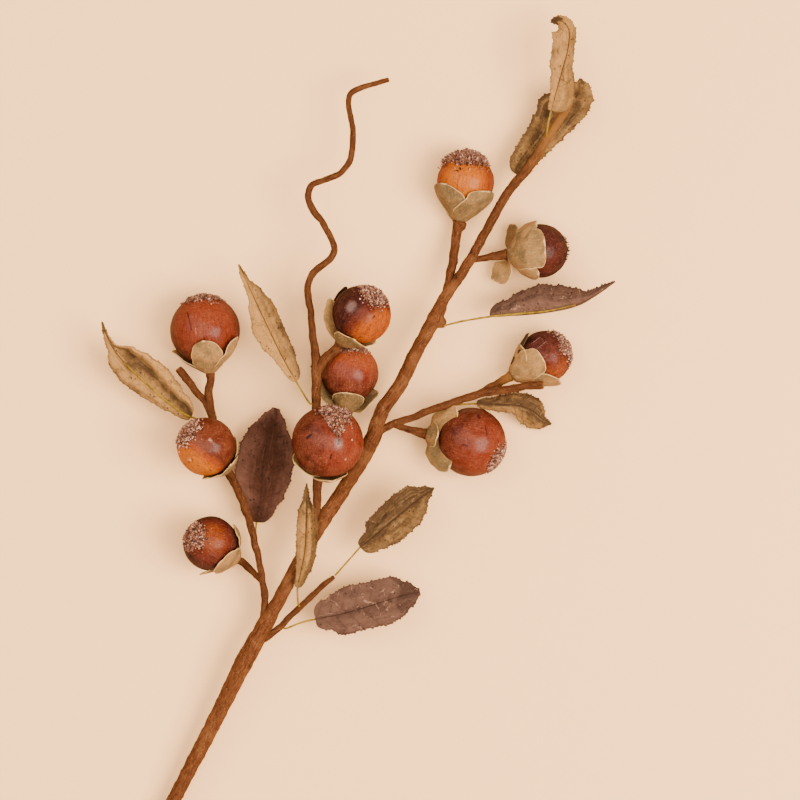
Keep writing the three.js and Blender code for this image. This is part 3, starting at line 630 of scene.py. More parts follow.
# Each point is a place and a radius. flare: the radius at the heel of a fruit's calyx; golden: how much
# of the end is lighter, in mm; stubs: place, height and reach in mm
sticks = [
    {"golden": 45, "stubs": [((221.4, 238.4, 18.8), 2.8, 2.9), ((119.6, 84.2, 16), 0.9, 3.2),
                             ((213, 243.5, 19), 0.5, 2.2)],
     "points": [(41, -88, 3, 3.7), (64, -44, 6, 3.6), (87, 0.5, 9, 3.5), (107, 39, 12, 3.9),
                (122.5, 70, 15, 4.6), (131, 85, 16.3, 4.3), (137.5, 96.5, 17, 3.4), (150, 120, 18, 3.3),
                (160, 137.5, 18.8, 3.7), (172.5, 156.5, 19.4, 3.6), (186, 180, 19.8, 4.1),
                (191, 194.5, 19.8, 3.6), (200, 207.5, 19.6, 3.5), (207.5, 223, 19.3, 3.4),
                (218, 242, 18.8, 3.6), (222.5, 251.5, 18.4, 2.9), (232, 265, 18, 2.5),
                (242, 282.5, 17.8, 2.3), (255, 305.5, 18, 2.3), (264, 316, 18.4, 2.3),
                (276.5, 335, 19.6, 2.2), (284.5, 348.5, 21, 2.1)]},
    {"fruit": 1, "flare": 2.5,
     "points": [(131, 86, 16.2, 1.8), (132, 100, 16.4, 1.8), (130.5, 112.5, 16.5, 1.7),
                (126.5, 131.5, 16.4, 1.8), (123, 144, 15.5, 1.9), (118, 155.5, 13.4, 2.1),
                (112.5, 165, 10.6, 2.2), (108, 178, 8.8, 2.1), (105.2, 193, 10, 2.1),
                (103.7, 204, 13, 2.1)]},
    {"points": [(106.5, 185, 9.2, 1.6), (103, 197, 10.6, 1.7), (97, 205, 12, 1.9), (88.5, 216, 14, 2)]},
    {"fruit": 2, "flare": 2.4, "points": [(119.5, 152, 14.2, 1.6)]},
    {"fruit": 3, "flare": 2.5, "points": [(130.6, 109, 16.5, 1.4), (127, 112.5, 13.5, 1.6)]},
    {"points": [(158, 134, 18.7, 2), (158.4, 146, 19.8, 2.2), (158.5, 160, 21, 2.1),
                (158.5, 180, 22.3, 2.1), (158, 200, 24, 2.3), (158.3, 216, 24.5, 2.6),
                (157, 229, 25.3, 1.9), (155, 245.5, 26, 1.75), (153.8, 256, 26, 1.7),
                (156.5, 263, 26.1, 1.8), (166, 271.5, 26, 1.7), (167, 276.5, 25.7, 1.7),
                (163, 286, 25.3, 1.65), (155, 297.5, 24.7, 1.7), (155.5, 306.5, 24.3, 1.7),
                (170.5, 313.5, 23.7, 1.5), (175, 320, 23.3, 1.6), (176.5, 333.5, 22.6, 1.5),
                (174.5, 347, 21.8, 1.4), (175.5, 353.5, 21.4, 1.5), (194.5, 360.5, 20, 1.25)]},
    {"fruit": 4, "flare": 2.6, "points": [(158.5, 153, 20.4, 1.6), (160, 160, 22.6, 1.8)]},
    {"fruit": 5, "flare": 2.4, "points": [(158.5, 178, 22.3, 1.6), (163, 184.5, 18.6, 1.7)]},
    {"fruit": 6, "flare": 3, "points": [(158.3, 213, 24.4, 2.1), (161.6, 219.4, 26, 2.3)]},
    {"points": [(186, 179, 19.8, 1.9), (191, 185.2, 20, 1.9), (202.5, 190, 20.4, 1.9),
                (218.5, 196, 21, 1.9), (238, 202.5, 22, 2), (257, 206, 23.4, 1.9),
                (271.8, 207.6, 24.6, 2.1)]},
    {"fruit": 9, "flare": 2.8, "golden": 14, "points": [(238, 202.4, 22, 1.6), (246, 206.6, 18.6, 1.9)]},
    {"fruit": 10, "flare": 3, "points": [(197, 187.8, 20.2, 1.6), (203, 185.6, 17.6, 1.7)]},
    {"fruit": 7, "flare": 3.2, "stubs": [((232.6, 287.4, 10.6), 1.7, 2.4), ((228.6, 270, 15), 0.4, 2)],
     "points": [(222.8, 252, 18.4, 2.1), (226.2, 268, 14.6, 2.3)]},
    {"fruit": 8, "flare": 3, "points": [(236, 270, 17.9, 1.4), (243, 271.4, 15.2, 1.7)]},
    {"points": [(131, 80, 16, 2.2), (137.5, 84, 16.4, 1.7), (149, 95.5, 17, 1.6), (160.5, 106, 17.6, 1.5),
                (167, 111.5, 18, 1.1)]},
]
# Lengths in mm; thick, slim, thin, full and smallest: radii; cut and golden: how light the ends are
woodSize = {
    "spacing": 0.62, "sides": (30, 20), "thick": 3, "slim": (3.2, 1.8), "thin": (3.2, 1.9),
    "neck": 3.4, "neckShare": 0.8, "sunk": 0.1, "gnarl": 0.35, "bend": 11, "fixed": 12,
    "knots": 0.045, "knotLength": 6, "round": 0.9, "roundDepth": 0.35, "pitch": 8.5, "pitchChange": 0.12,
    "pitchLength": 23, "step": 0.26, "stepShare": 0.12, "lump": 0.12, "lumpLength": 7, "grit": 0.08,
    "gritLength": 2.2, "full": 2.4, "apart": 37, "smallest": 1.2, "cut": 0.8, "golden": 0.55, "sharp": 50,
}


def stickPoints(part):
    # A stick's points, led on into the heel of its fruit's calyx
    points = list(part["points"])
    if "fruit" in part:
        fruit = fruits[part["fruit"] - 1]
        axis = unit(fruit["axis"])
        end = np.array(fruit["at"]) - axis * (calyxShape(fruit)[-1] - woodSize["sunk"])
        points.append((*(end - axis * woodSize["neck"]), part["flare"] * woodSize["neckShare"]))
        points.append((*end, part["flare"]))
    return points


def makeBranch():
    shape = Shape()
    bark = []
    for number, part in enumerate(sticks):
        seed = seeds["stick"] * number
        points = stickPoints(part)
        places, lengths = evenPlaces(points, woodSize["spacing"])
        centres = curvePoints(points, places)
        radii = alongList([point[3] for point in points], places)
        sides = woodSize["sides"][0 if radii.max() > woodSize["thick"] else 1]
        angles = ringAngles(sides)
        ends = np.minimum(lengths, lengths[-1] - lengths)
        # Bends and knots, stronger where the stick is slim
        slim = smoothly(radii, *woodSize["slim"])
        track = np.stack([lengths, 0 * lengths, 0 * lengths], axis=-1)
        bends = np.stack([ripple(track, woodSize["bend"], seed + side) for side in range(3)], axis=-1)
        free = smoothly(ends, 0, woodSize["fixed"]) * slim
        centres = centres + woodSize["gnarl"] * free[:, None] * bends
        knots = woodSize["knots"] * ripple(track, woodSize["knotLength"], seed + 7)
        knots = knots * smoothly(ends, 0, woodSize["knotLength"])
        radii = radii * (1 + knots * (0.6 + slim))
        rounded = (1 - ends / woodSize["round"]) ** 2 * (ends < woodSize["round"])
        radii = radii * np.sqrt(1 - rounded * woodSize["roundDepth"])
        # The bark's seam winds round the stick, with a step at it
        across = radii[:, None] * np.cos(angles), radii[:, None] * np.sin(angles)
        along = lengths[:, None] + woodSize["apart"] * number
        grain = np.stack(np.broadcast_arrays(along, *across), axis=-1)
        change = woodSize["pitchChange"] * np.sin(lengths / woodSize["pitchLength"] + number)
        pitch = woodSize["pitch"] * (1 + change)
        seam = (np.cumsum(np.gradient(lengths) / pitch)[:, None] + angles / math.tau + 0.37 * number) % 1
        relief = woodSize["step"] * (seam - 0.5) * smoothly(seam, 0, woodSize["stepShare"])
        relief = relief + woodSize["lump"] * ripple(grain, woodSize["lumpLength"], seeds["bark"] + number)
        relief = relief + woodSize["grit"] * ripple(grain, woodSize["gritLength"], seeds["grit"] + number)
        relief = relief * np.minimum(radii[:, None] / woodSize["full"], 1.1)
        cut = np.zeros(seam.shape)
        cut[-1] = 0 if "fruit" in part or points[-1][3] < woodSize["smallest"] else woodSize["cut"]
        if "golden" in part:
            start = lengths[-1] - part["golden"]
            golden = smoothly(lengths, start, lengths[-1] - 0.2 * part["golden"])
            cut += woodSize["golden"] * golden[:, None]
        if number == 0:
            cut[0] = 1
        thin = np.broadcast_to(smoothly(radii, *woodSize["thin"])[:, None], seam.shape)
        addSweep(shape, centres, radii, sides, relief, part.get("stubs", ()),
                 grain=grain, seam=seam, cut=cut, thin=thin)
        bark.append(np.column_stack([centres, radii]))
    shape.build("branch", "wood", woodSize["sharp"])
    return np.vstack(bark)


bark = makeBranch()
print("branch built")

# bright: where the lit side is, how strongly and how far in it begins; veil: how much of the dull veil
fruitSurfaces = [
    {"slot": "fruit_red", "bright": (0.1, 0.4, 0.6), "strong": 0.6, "shift": 0.1, "veil": 0.6},
    {"slot": "fruit_orange", "bright": (-0.6, -0.8, 0.0), "strong": 3.2, "shift": 0.5, "veil": 0.5},
    {"slot": "fruit_dark", "bright": (0.2, 0.25, 0.9), "strong": 1.3, "shift": 0.65, "veil": 0.6},
    {"slot": "fruit_red", "bright": (0.8, -0.1, 0.2), "strong": 0.75, "shift": 0.25, "veil": 0.8},
    {"slot": "fruit_red", "bright": (0.3, 0.9, 0.1), "strong": 1.5, "shift": 0.0, "veil": 1.1},
    {"slot": "fruit_dark", "bright": (0.6, -0.7, 0.2), "strong": 2.0, "shift": 0.3, "veil": 0.3},
    {"slot": "fruit_orange", "bright": (-0.1, 0.1, 1), "strong": 1.1, "shift": 0.1, "veil": 0.3},
    {"slot": "fruit_dark", "bright": (0.1, -0.7, 0.5), "strong": 0.3, "shift": 0.4, "veil": 0.55},
    {"slot": "fruit_dark", "bright": (0.5, -0.8, 0.1), "strong": 0.9, "shift": 0.0, "veil": 0.9},
    {"slot": "fruit_red", "bright": (0.8, -0.5, 0.2), "strong": 0.6, "shift": 0.1, "veil": 0.8},
]
fruitSize = {
    "columns": 108, "rows": 66, "share": 0.988, "ribs": 6, "ribDepth": 0.01, "wave": 0.16, "waveLength": 13,
    "dents": 0.05, "dentLength": 3.5, "shadow": 0.5, "shadowTop": 0.8, "veilBelow": 0.45,
    "veilHeights": (-0.2, 0.9), "sharp": 80,
}


def makeFruit(number):
    fruit, surface = fruits[number - 1], fruitSurfaces[number - 1]
    polar, angle = np.meshgrid(np.linspace(0, math.pi, fruitSize["rows"]), ringAngles(fruitSize["columns"]),
                               indexing="ij")
    local = roundAxis(np.sin(polar), angle, -np.cos(polar))
    out = local @ turned(fruit["axis"])
    ribs = fruitSize["ribDepth"] * (np.cos(fruitSize["ribs"] * angle) - 1) / 2 * np.sin(polar)
    radius = fruit["radius"] * fruitSize["share"] * (1 + ribs)
    ball = out * fruit["radius"]
    relief = fruitSize["wave"] * ripple(ball, fruitSize["waveLength"], seeds["fruit"] + number)
    relief = relief + fruitSize["dents"] * ripple(ball, fruitSize["dentLength"], seeds["skin"] + number)
    shade = surface["strong"] * (out @ unit(surface["bright"])) - surface["shift"]
    # Painted shade: the skin is darker where it faces sideways and down
    shade = shade - fruitSize["shadow"] * (0.85 - smoothly(out[..., 2], 0, fruitSize["shadowTop"]))
    below = fruitSize["veilBelow"]
    veil = surface["veil"] * (below + (1 - below) * smoothly(out[..., 2], *fruitSize["veilHeights"]))
    skin = np.stack([polar / math.pi * 3, local[..., 0], local[..., 1]], axis=-1) + number
    shape = Shape()
    shape.add(np.array(fruit["at"]) + out * (radius + relief)[..., None],
              gridFaces(*polar.shape, True).tolist(), shade=shade, veil=veil, skin=skin)
    shape.build(f"fruit_{number}", surface["slot"], fruitSize["sharp"])


for pieceNumber in pieceNumbers:
    makeFruit(pieceNumber)
print("fruits built")

# spread: half angle in degrees; wedge: from one plan point to another, and its width at the first;
# share: of the grains that stay; bare: how deep the crust under them lies; spiky: how far they stand out
frosts = [
    {"toward": (-0.03, 0.99, 0.08), "spread": 29, "layers": 1.3, "dull": 0.85},
    {"toward": (-0.68, 0.54, 0.48), "spread": 33, "layers": 1.2, "dull": 1.25},
    {"toward": (-0.6, 0.3, 0.74), "spread": 32, "layers": 1.5},
    {"toward": (0.24, 0.86, 0.46), "spread": 26, "layers": 1.3, "wedge": ((168.6, 195), (170.2, 181), 15)},
    {"toward": (0.08, 0.97, 0.2), "spread": 32, "layers": 1.2},
    {"toward": (0.45, 0.72, 0.53), "spread": 32, "layers": 1.2},
    {"toward": (0.02, 0.98, 0.2), "spread": 46, "layers": 2.3, "spiky": 2.8, "dull": 0.9},
    {"toward": (0.97, 0.05, 0.2), "spread": 36, "layers": 1.0, "dull": 0.3, "share": 0.006, "bare": 0.8,
     "spiky": 2.2},
    {"toward": (0.86, 0.48, 0.12), "spread": 42, "layers": 1.3},
    {"toward": (0.8, -0.52, 0.3), "spread": 27, "layers": 1.1, "dull": 1.2},
]
# waves: how many round the rim and how high; tries: points drawn for each that could stay
frostSize = {
    "crust": (14, 72), "base": 0.5, "sunk": 0.2, "dents": 0.18, "dentLength": 2.4, "foot": -0.9,
    "waves": ((3, 1), (5, 0.8), (9, 0.7)), "ragged": 0.064, "fringe": 0.07, "spacing": 0.5,
    "grain": (0.27, 0.48), "rise": 0.5, "stretch": (0.7, 1.3), "glints": (1.1, 1.9), "tries": 5, "reach": 1.4,
    "wedgeReach": 2.4, "strays": 0.015, "clump": 4.5, "sharp": 25,
}


def grainMesh():
    work = bmesh.new()
    bmesh.ops.create_icosphere(work, subdivisions=1, radius=1)
    points = np.array([vertex.co[:] for vertex in work.verts])
    faces = np.array([[vertex.index for vertex in face.verts] for face in work.faces])
    work.free()
    return points, faces


grainPoints, grainFaces = grainMesh()


def keptApart(points, distance):
    # Those of the points that keep their distance from the ones chosen before them
    chosen = points[:1]
    for point in points[1:]:
        if np.min(np.sum((chosen - point) ** 2, axis=1)) >= distance ** 2:
            chosen = np.vstack([chosen, point])
    return chosen


def inWedge(wedge, points, up):
    start, end, wide = (np.array(value) for value in wedge)
    line = end - start
    run = (points - start) @ line / np.sum(line ** 2)
    aside = np.abs((points - start) @ np.array([line[1], -line[0]])) / np.linalg.norm(line)
    return (run > 0) & (run < 1) & (aside < wide / 2 * np.clip(1 - run, 0, 1) ** 0.8) & (up > 0)


def makeFrost(number):
    fruit, frost = fruits[number - 1], frosts[number - 1]
    draw = np.random.default_rng(seeds["grains"] + number)
    basis = turned(frost["toward"])
    at = np.array(fruit["at"])
    radius = fruit["radius"] * fruitSize["share"]
    spread = math.radians(frost["spread"])
    phases = draw.uniform(0, math.tau, 3)

    def rimAt(angle):
        waves = [high * np.sin(count * angle + phase)
                 for (count, high), phase in zip(frostSize["waves"], phases)]
        return spread * (0.93 + frostSize["ragged"] * sum(waves))

    # The crust
    shape = Shape()
    rows, columns = frostSize["crust"]
    angle = ringAngles(columns)
    share = np.linspace(0.02, 1, rows)[:, None]
    polar = share * rimAt(angle) * 0.95
    out = roundAxis(np.sin(polar), angle, np.cos(polar)) @ basis
    dents = frostSize["dents"] * ripple(out * radius, frostSize["dentLength"], seeds["crust"] + number)
    thick = frostSize["base"] * (1 - smoothly(share, 0.75, 1.0)) - frostSize["sunk"] + dents
    thick = thick - frost.get("bare", 0)
    thick[-1] = frostSize["foot"]
    faces = gridFaces(rows, columns, True)[:, ::-1].tolist() + [list(range(columns))]
    # The crust takes the deep colour: painted shade in the gaps between the grains
    shape.add(at + out * (radius + thick)[..., None], faces, glint=0.1)

    # The grains, layer by layer
    apart = frostSize["spacing"] / radius
    reach = spread * frostSize["wedgeReach" if "wedge" in frost else "reach"]
    area = 2 * math.pi * radius ** 2 * (1 - math.cos(reach))
    tries = int(area / frostSize["spacing"] ** 2 * frostSize["tries"])
    for layer in range(math.ceil(frost["layers"])):
        part = min(frost["layers"] - layer, 1)
        height = 1 - (1 - math.cos(reach)) * draw.random(tries)
        angle = draw.uniform(0, math.tau, tries)
        polar = np.arccos(height)
        out = roundAxis(np.sin(polar), angle, height) @ basis
        edge = polar / rimAt(angle) + frostSize["fringe"] * draw.normal(size=tries)
        keep = edge < 1 - 0.1 * layer
        if "wedge" in frost:
            keep |= inWedge(frost["wedge"], at[:2] + out[:, :2] * radius, out[:, 2])
        strays = (layer == 0) & (edge < frostSize["reach"]) & (draw.random(tries) < frostSize["strays"])
        if layer:
            clumps = ripple(out * radius, frostSize["clump"], seeds["clumps"] + number + layer)
            keep &= clumps > 0.9 - 1.9 * part
        keep = (keep | strays) & (draw.random(tries) < frost.get("share", 1))
        out = keptApart(out[keep], apart)
        count = len(out)
        if not count:
            continue
        size = draw.uniform(*frostSize["grain"], count)
        lift = 0.3 * size + layer * frostSize["rise"] + draw.uniform(0, 0.3 * frost.get("spiky", 1), count)
        tall = 1 + draw.uniform(-0.2, frost.get("spiky", 0.5), count)
        grains = grainPoints @ turned(draw.normal(size=3))
        grains = grains[None] * size[:, None, None] * draw.uniform(*frostSize["stretch"], (count, 1, 3))
        along = (grains @ out[:, :, None])[..., 0]
        grains = grains + out[:, None] * (along * (tall - 1)[:, None])[..., None]
        points = (at + out * (radius + lift)[:, None])[:, None] + grains
        glint = draw.beta(*frostSize["glints"], count) + 0.1 * layer
        glint = np.clip(glint, 0.02, 1) * frost.get("dull", 1)
        faces = (grainFaces[None] + (np.arange(count) * len(grainPoints))[:, None, None]).reshape(-1, 3)
        shape.add(points, faces.tolist(), glint=np.repeat(glint, len(grainPoints)))
    shape.build(f"frost_{number}", "frost", frostSize["sharp"])


for pieceNumber in pieceNumbers:
    makeFrost(pieceNumber)
print("frost built")

# Petals of each calyx: angle round the axis, reach in degrees round the fruit, how closely it hugs it and
# half width as a share of the fruit's radius; then tilt where it runs straight from the heel, twist,
# darkness:
# painted shade on the petals that show a shaded side, a slightly darker colour on two of calyx 7's
petals = {
    1: [(-12, 64, 0.9, 0.36), (90, 80, 1, 0.47), (142, 80, 0.7, 0.36, None, -12), (270, 46, 1, 0.5)],
    2: [(45, 56, 1, 0.5), (110, 58, 1, 0.5), (200, 58, 1, 0.5), (300, 54, 1, 0.5)],
    3: [(4, 76, 0.4, 0.45, None, -20), (74, 82, 1, 0.68), (160, 76, 0.9, 0.45), (248, 56, 1, 0.5)],
    4: [(30, 58, 1, 0.5), (110, 60, 1, 0.55), (200, 58, 1, 0.5), (290, 56, 1, 0.5)],
    5: [(14, 80, 0.4, 0.5, None, 38), (88, 64, 1, 0.64), (168, 62, 0.6, 0.42, None, -40), (266, 50, 1, 0.5),
        (-28, 104, 0, 0.24, None, 0, 0.9)],
    6: [(8, 84, 0.7, 0.28, None, 50), (112, 66, 1, 0.62), (200, 58, 1, 0.5), (290, 58, 1, 0.5),
        (-24, 104, 1, 0.25, None, 0, 0.9)],
    7: [(50, 86, 1, 0.76, None, 0, 0.1), (131, 86, 0.9, 0.74, None, 0, 0.14), (225, 56, 1, 0.5),
        (315, 56, 1, 0.5)],
    8: [(28, 90, 0.9, 0.62), (84, 102, 1, 0.84), (142, 84, 0.95, 0.46), (186, 56, 0, 0.42, -34, 60),
        (350, 56, 0, 0.26, 18, -50, 0.45)],
    9: [(22, 84, 0.9, 0.24, None, 0, 0.9), (88, 84, 1, 0.62), (46, 60, 0.95, 0.6), (152, 92, 0.9, 0.58),
        (262, 54, 1, 0.5)],
    10: [(34, 62, 0.9, 0.42, None, -35), (90, 34, 1, 0.4), (146, 66, 0.85, 0.42, None, 35),
         (270, 44, 1, 0.5)],
}
petalSquare = {3: 2.4, 7: 2.5, 8: 3.4, 9: 3, 10: 2.4}  # how square the ends of some petals are
petalOlive = {5: 0.3, 7: 0.25, 9: -0.25}  # how much more olive the petals of some calyxes are
# Lengths in mm but for shares: foot and widest, where a petal is widest along it
petalSize = {
    "rows": 34, "columns": 22, "start": 0.6, "foot": 0.7, "widest": 0.6, "square": 2.1, "narrowest": 0.12,
    "layer": 0.25, "ruffle": 0.35, "ruffleLength": 2.4, "tip": 0.9, "crumple": 0.6, "creaseLength": 13,
    "wavy": 0.06, "nicks": 0.03, "uneven": 0.25, "rim": 0.45, "sharp": 50,
}


def petalCourse(length, calyx, hug, tilt):
    # How far out and forward a petal is at each length from the heel's middle, and its heading
    radius, slope, heel, cone, distance = calyx
    past = np.maximum(length - heel, 0)
    if tilt is not None:
        heading = math.radians(tilt) * smoothly(past, 0, 5)
        outward, forward = past * np.cos(heading), past * np.sin(heading)
    else:
        onCone = np.minimum(past, cone)
        heading = slope + hug * np.maximum(past - cone, 0) / radius
        if hug:
            outward = onCone * math.cos(slope) + radius / hug * (np.sin(heading) - math.sin(slope))
            forward = onCone * math.sin(slope) + radius / hug * (math.cos(slope) - np.cos(heading))
        else:
            outward, forward = past * math.cos(slope), past * math.sin(slope)
    return np.minimum(length, heel) + outward, forward - distance, heading


def addPetal(shape, number, index, draw):
    fruit = fruits[number - 1]
    calyx = radius, slope, heel, cone, distance = calyxShape(fruit)
    petal = petals[number][index]
    turn, reach, hug, width, tilt, twist, dark = petal + (None, 0, 0.0)[len(petal) - 4:]
    whole = heel + cone + radius * (math.radians(reach) - slope)
    widest = width * fruit["radius"]
    share, across = np.meshgrid(np.sin(np.linspace(0, math.pi / 2, petalSize["rows"])),
                                np.linspace(-1, 1, petalSize["columns"]), indexing="ij")
    # The outline: half widths and lengths, with a wavy rim
    power = petalSquare.get(number, petalSize["square"]) + draw.uniform(-0.2, 0.4)
    foot = min(heel * petalSize["foot"] / widest, 1)
    rising = np.sin(np.clip(share / petalSize["widest"], 0, 1) * math.pi / 2) ** 1.3
    beyond = np.clip((share - petalSize["widest"]) / (1 - petalSize["widest"]), 0, 1)
    half = widest * np.where(share < petalSize["widest"], foot + (1 - foot) * rising,
                             (1 - beyond ** power) ** (1 / power))
    waves = draw.uniform(0, math.tau, 6)
    wavy = petalSize["wavy"] * np.sin(share * 9 + waves[0] + (across > 0) * 2)
    nicks = petalSize["nicks"] * np.sin(share * 27 + waves[1])
    half = np.maximum(half * (1 + wavy + nicks), petalSize["narrowest"])
    length = petalSize["start"] + (whole - petalSize["start"]) * share
    length = length + petalSize["uneven"] * share * np.sin(across * 7 + waves[2])
    rim = np.minimum(half * (1 - np.abs(across)), (1 - share) * whole)
    # The lift from its course: layer, ruffle, tip and crumple
    outward, forward, heading = petalCourse(length, calyx, hug, tilt)
    lift = petalSize["layer"] * (0.6 if index % 2 else -1) * smoothly(length, 1, 6)
    ruffle = np.sin(across * 2.6 + waves[3]) + 0.6 * np.sin(length / petalSize["ruffleLength"] + waves[4])
    ruffle = ruffle + 0.5 * np.abs(across) * np.sin(share * 17 + waves[5])
    lift = lift + petalSize["ruffle"] * smoothly(share, 0.4, 1) * ruffle
    lift = lift + petalSize["tip"] * smoothly(share, 0.8, 1.0) ** 2 * draw.uniform(0, 1)
    flat = np.stack([length, across * half, np.full(share.shape, 40.0 * index)], axis=-1)
    crumple = 0.5 - np.abs(ripple(flat, petalSize["creaseLength"], seeds["petal"] + number))
    lift = lift + petalSize["crumple"] * crumple * smoothly(length, heel, heel + 4)
    twisted = math.radians(twist) * smoothly(length, heel, heel + 5)
    aside = across * half * np.cos(twisted)
    lift = lift + across * half * np.sin(twisted)
    outward = outward + np.sin(heading) * lift
    forward = forward - np.cos(heading) * lift
    angle = math.radians(turn) + np.clip(aside / np.maximum(outward, 0.3), -1.5, 1.5)
    middle = np.array(fruit["at"]) + roundAxis(outward, angle, forward) @ turned(fruit["axis"])
    grain = np.stack([length / 10, across * half / 9, np.full(share.shape, index + 7.0 * number)], axis=-1)
    thinRim = calyxSize["thinRim"]
    thickness = calyxSize["thickness"] * (thinRim + (1 - thinRim) * smoothly(rim, 0, 0.8))
    # A random tone per petal, more olive on some calyxes, and painted shade where the crumple sinks
    tone = draw.uniform(0, 0.5) + 0.5 * np.clip(0.3 - crumple, -0.2, 1) + petalOlive.get(number, 0)
    addSheet(shape, middle, thickness, petal=grain,
             edge=np.exp(-rim / petalSize["rim"]) * smoothly(share, 0.15, 0.5),
             foot=1 - smoothly(length, 1.5, heel + 3), tone=tone, dark=np.full(share.shape, dark))


def makeCalyx(number):
    draw = np.random.default_rng(seeds["calyx"] + number)
    shape = Shape()
    for index in range(len(petals[number])):
        addPetal(shape, number, index, draw)
    shape.build(f"calyx_{number}", "calyx", petalSize["sharp"])


for pieceNumber in pieceNumbers:
    makeCalyx(pieceNumber)
print("calyxes built")

# rib: points along the middle; left and right: half widths at even places along it; raise: how far each
# half rises, in degrees; stalk: points from the wood to the blade; side: 1 over the blade, -1 under it
leaves = [
    {"slot": "leaf_tan", "side": 1, "raise": (24, 20), "stalk": [(104.5, 189.4, 12.1), (99, 190.4, 15.4)],
     "rib": [(94.8, 191, 14), (84, 198.5, 14), (72, 209, 15.5), (60.5, 220, 18), (54, 230, 21),
             (51.3, 239, 25)],
     "left": (0.9, 3.6, 5.4, 7.2, 8.3, 7.2, 2.5, 1.3, 0.5),
     "right": (1.2, 9.4, 12, 14, 13.4, 10.2, 2.2, 1.1, 0.5)},
    {"slot": "leaf_tan", "side": -1, "raise": (16, 14), "stalk": [(155.4, 198, 24.9), (151, 204.5, 24.6)],
     "rib": [(148, 209.5, 25.5), (141, 222, 26.5), (134, 236.5, 27.5), (126.5, 252.5, 28),
             (119.5, 267.5, 26.5)],
     "left": (0.9, 3.2, 4.2, 7.3, 8.6, 5.6, 2.4, 1.9, 0.5),
     "right": (0.9, 5.1, 7.5, 7.7, 7.7, 8, 5.6, 1.6, 0.5)},
    {"slot": "leaf_umber", "side": -1, "raise": (3, 14), "stalk": [(127, 128.2, 13.9), (127.1, 132.5, 9)],
     "rib": [(127.5, 138.5, 8.6), (130, 153, 7.2), (131, 168, 6.8), (134, 183, 8), (137.5, 196, 10.5)],
     "left": (2, 9.5, 12.5, 13.5, 13.5, 13.2, 10.5, 6.4, 2),
     "right": (2, 8.4, 12.4, 16, 16.4, 15.4, 12.6, 8, 2.5)},
    {"slot": "leaf_tan", "side": -1, "raise": (38, 30), "stalk": [(149.3, 97, 19.1), (148.8, 102, 21.6)],
     "rib": [(148.5, 106.5, 23), (152, 122, 25), (153.3, 140, 27), (153.5, 158.5, 28.5)],
     "left": (0.9, 2.6, 4, 5.2, 6, 6.2, 5.4, 2.2, 0.5),
     "right": (0.9, 4.2, 6, 7.2, 7.4, 7.2, 5.6, 1.8, 0.5)},
    {"slot": "leaf_tan", "side": -1, "raise": (12, 8), "stalk": [(167.4, 111.9, 18), (175, 120.5, 17.6)],
     "rib": [(180, 126.5, 18.5), (189, 133.5, 20), (198.5, 141.5, 22), (208, 149.5, 22.5),
             (217, 156, 20.5)],
     "left": (0.9, 4, 8.7, 9.1, 9.5, 10.1, 9.5, 4.5, 0.6),
     "right": (1.5, 7.2, 8.8, 10.3, 10.5, 10.5, 7.8, 3.2, 0.6)},
    {"slot": "leaf_mauve", "side": -1, "raise": (8, 10), "stalk": [(142.1, 85.3, 15.9), (150, 88, 14.3)],
     "rib": [(157.5, 90, 15), (170, 92.5, 16.5), (184, 96.5, 18), (198, 101, 18), (210, 104, 16)],
     "left": (2.5, 9.2, 11.7, 13, 12.5, 12.3, 11.2, 6.5, 1.8),
     "right": (2.5, 6.5, 10.3, 10.8, 11.3, 11.8, 10.3, 6.8, 2.2)},
    {"slot": "leaf_mauve", "side": 1, "raise": (-6, -80), "stalk": [(219.9, 237.1, 20.3), (232, 239.6, 20.2)],
     "rib": [(245, 241.8, 19.5), (258, 243, 21), (274, 244.6, 22), (289, 248, 22.5), (298, 252.6, 23),
             (307.5, 259, 24.5)],
     "left": (1.2, 7.5, 11.3, 13.6, 12, 8.5, 3.6, 2.4, 0.8),
     "right": (0.9, 5, 8, 8.5, 9, 8, 5, 2.5, 0.6)},
    {"slot": "leaf_tan", "side": -1, "raise": (-10, -28), "stalk": [(226.5, 197.6, 19), (231.5, 197.8, 14.2)],
     "rib": [(238.5, 198.3, 13.6), (249, 197.8, 14.4), (259, 197.4, 14.6), (266.5, 194.8, 13),
             (271.5, 190.6, 10), (276.5, 187.8, 7)],
     "left": (0.9, 3, 5, 6.5, 7, 6.4, 4.4, 1.4, 0.5),
     "right": (0.9, 3.5, 4.7, 5.3, 8.5, 10.5, 10, 6.5, 0.8)},
    {"slot": "leaf_tan", "side": -1, "raise": (10, 24), "stalk": [(273.4, 332, 22.1), (274, 338, 22.9)],
     "rib": [(275.5, 344.5, 24.6), (278, 354, 26), (281, 365, 27.6), (283.8, 376, 28.4), (284, 384.5, 27.6),
             (280.5, 389, 25.4), (275.5, 389.4, 23)],
     "left": (1.5, 2.6, 4.6, 7.2, 8.1, 9.4, 4, 2.2, 1),
     "right": (3, 11, 8.5, 4.8, 3.4, 3.6, 3.4, 2.4, 1)},
    {"slot": "leaf_tan", "side": -1, "raise": (4, 4), "stalk": [(254.7, 307.6, 15.5), (256, 309.9, 12.4)],
     "rib": [(259, 313, 12.4), (267.5, 325, 11), (277.5, 337.5, 10.8), (286, 348.5, 12), (290, 355.5, 14),
             (290.6, 361.5, 15.5)],
     "left": (3, 8.2, 9.5, 11.8, 14.4, 10.5, 6.5, 3, 0.6),
     "right": (3, 4.8, 6, 7, 8.2, 9.5, 8.5, 5, 0.8)},
]
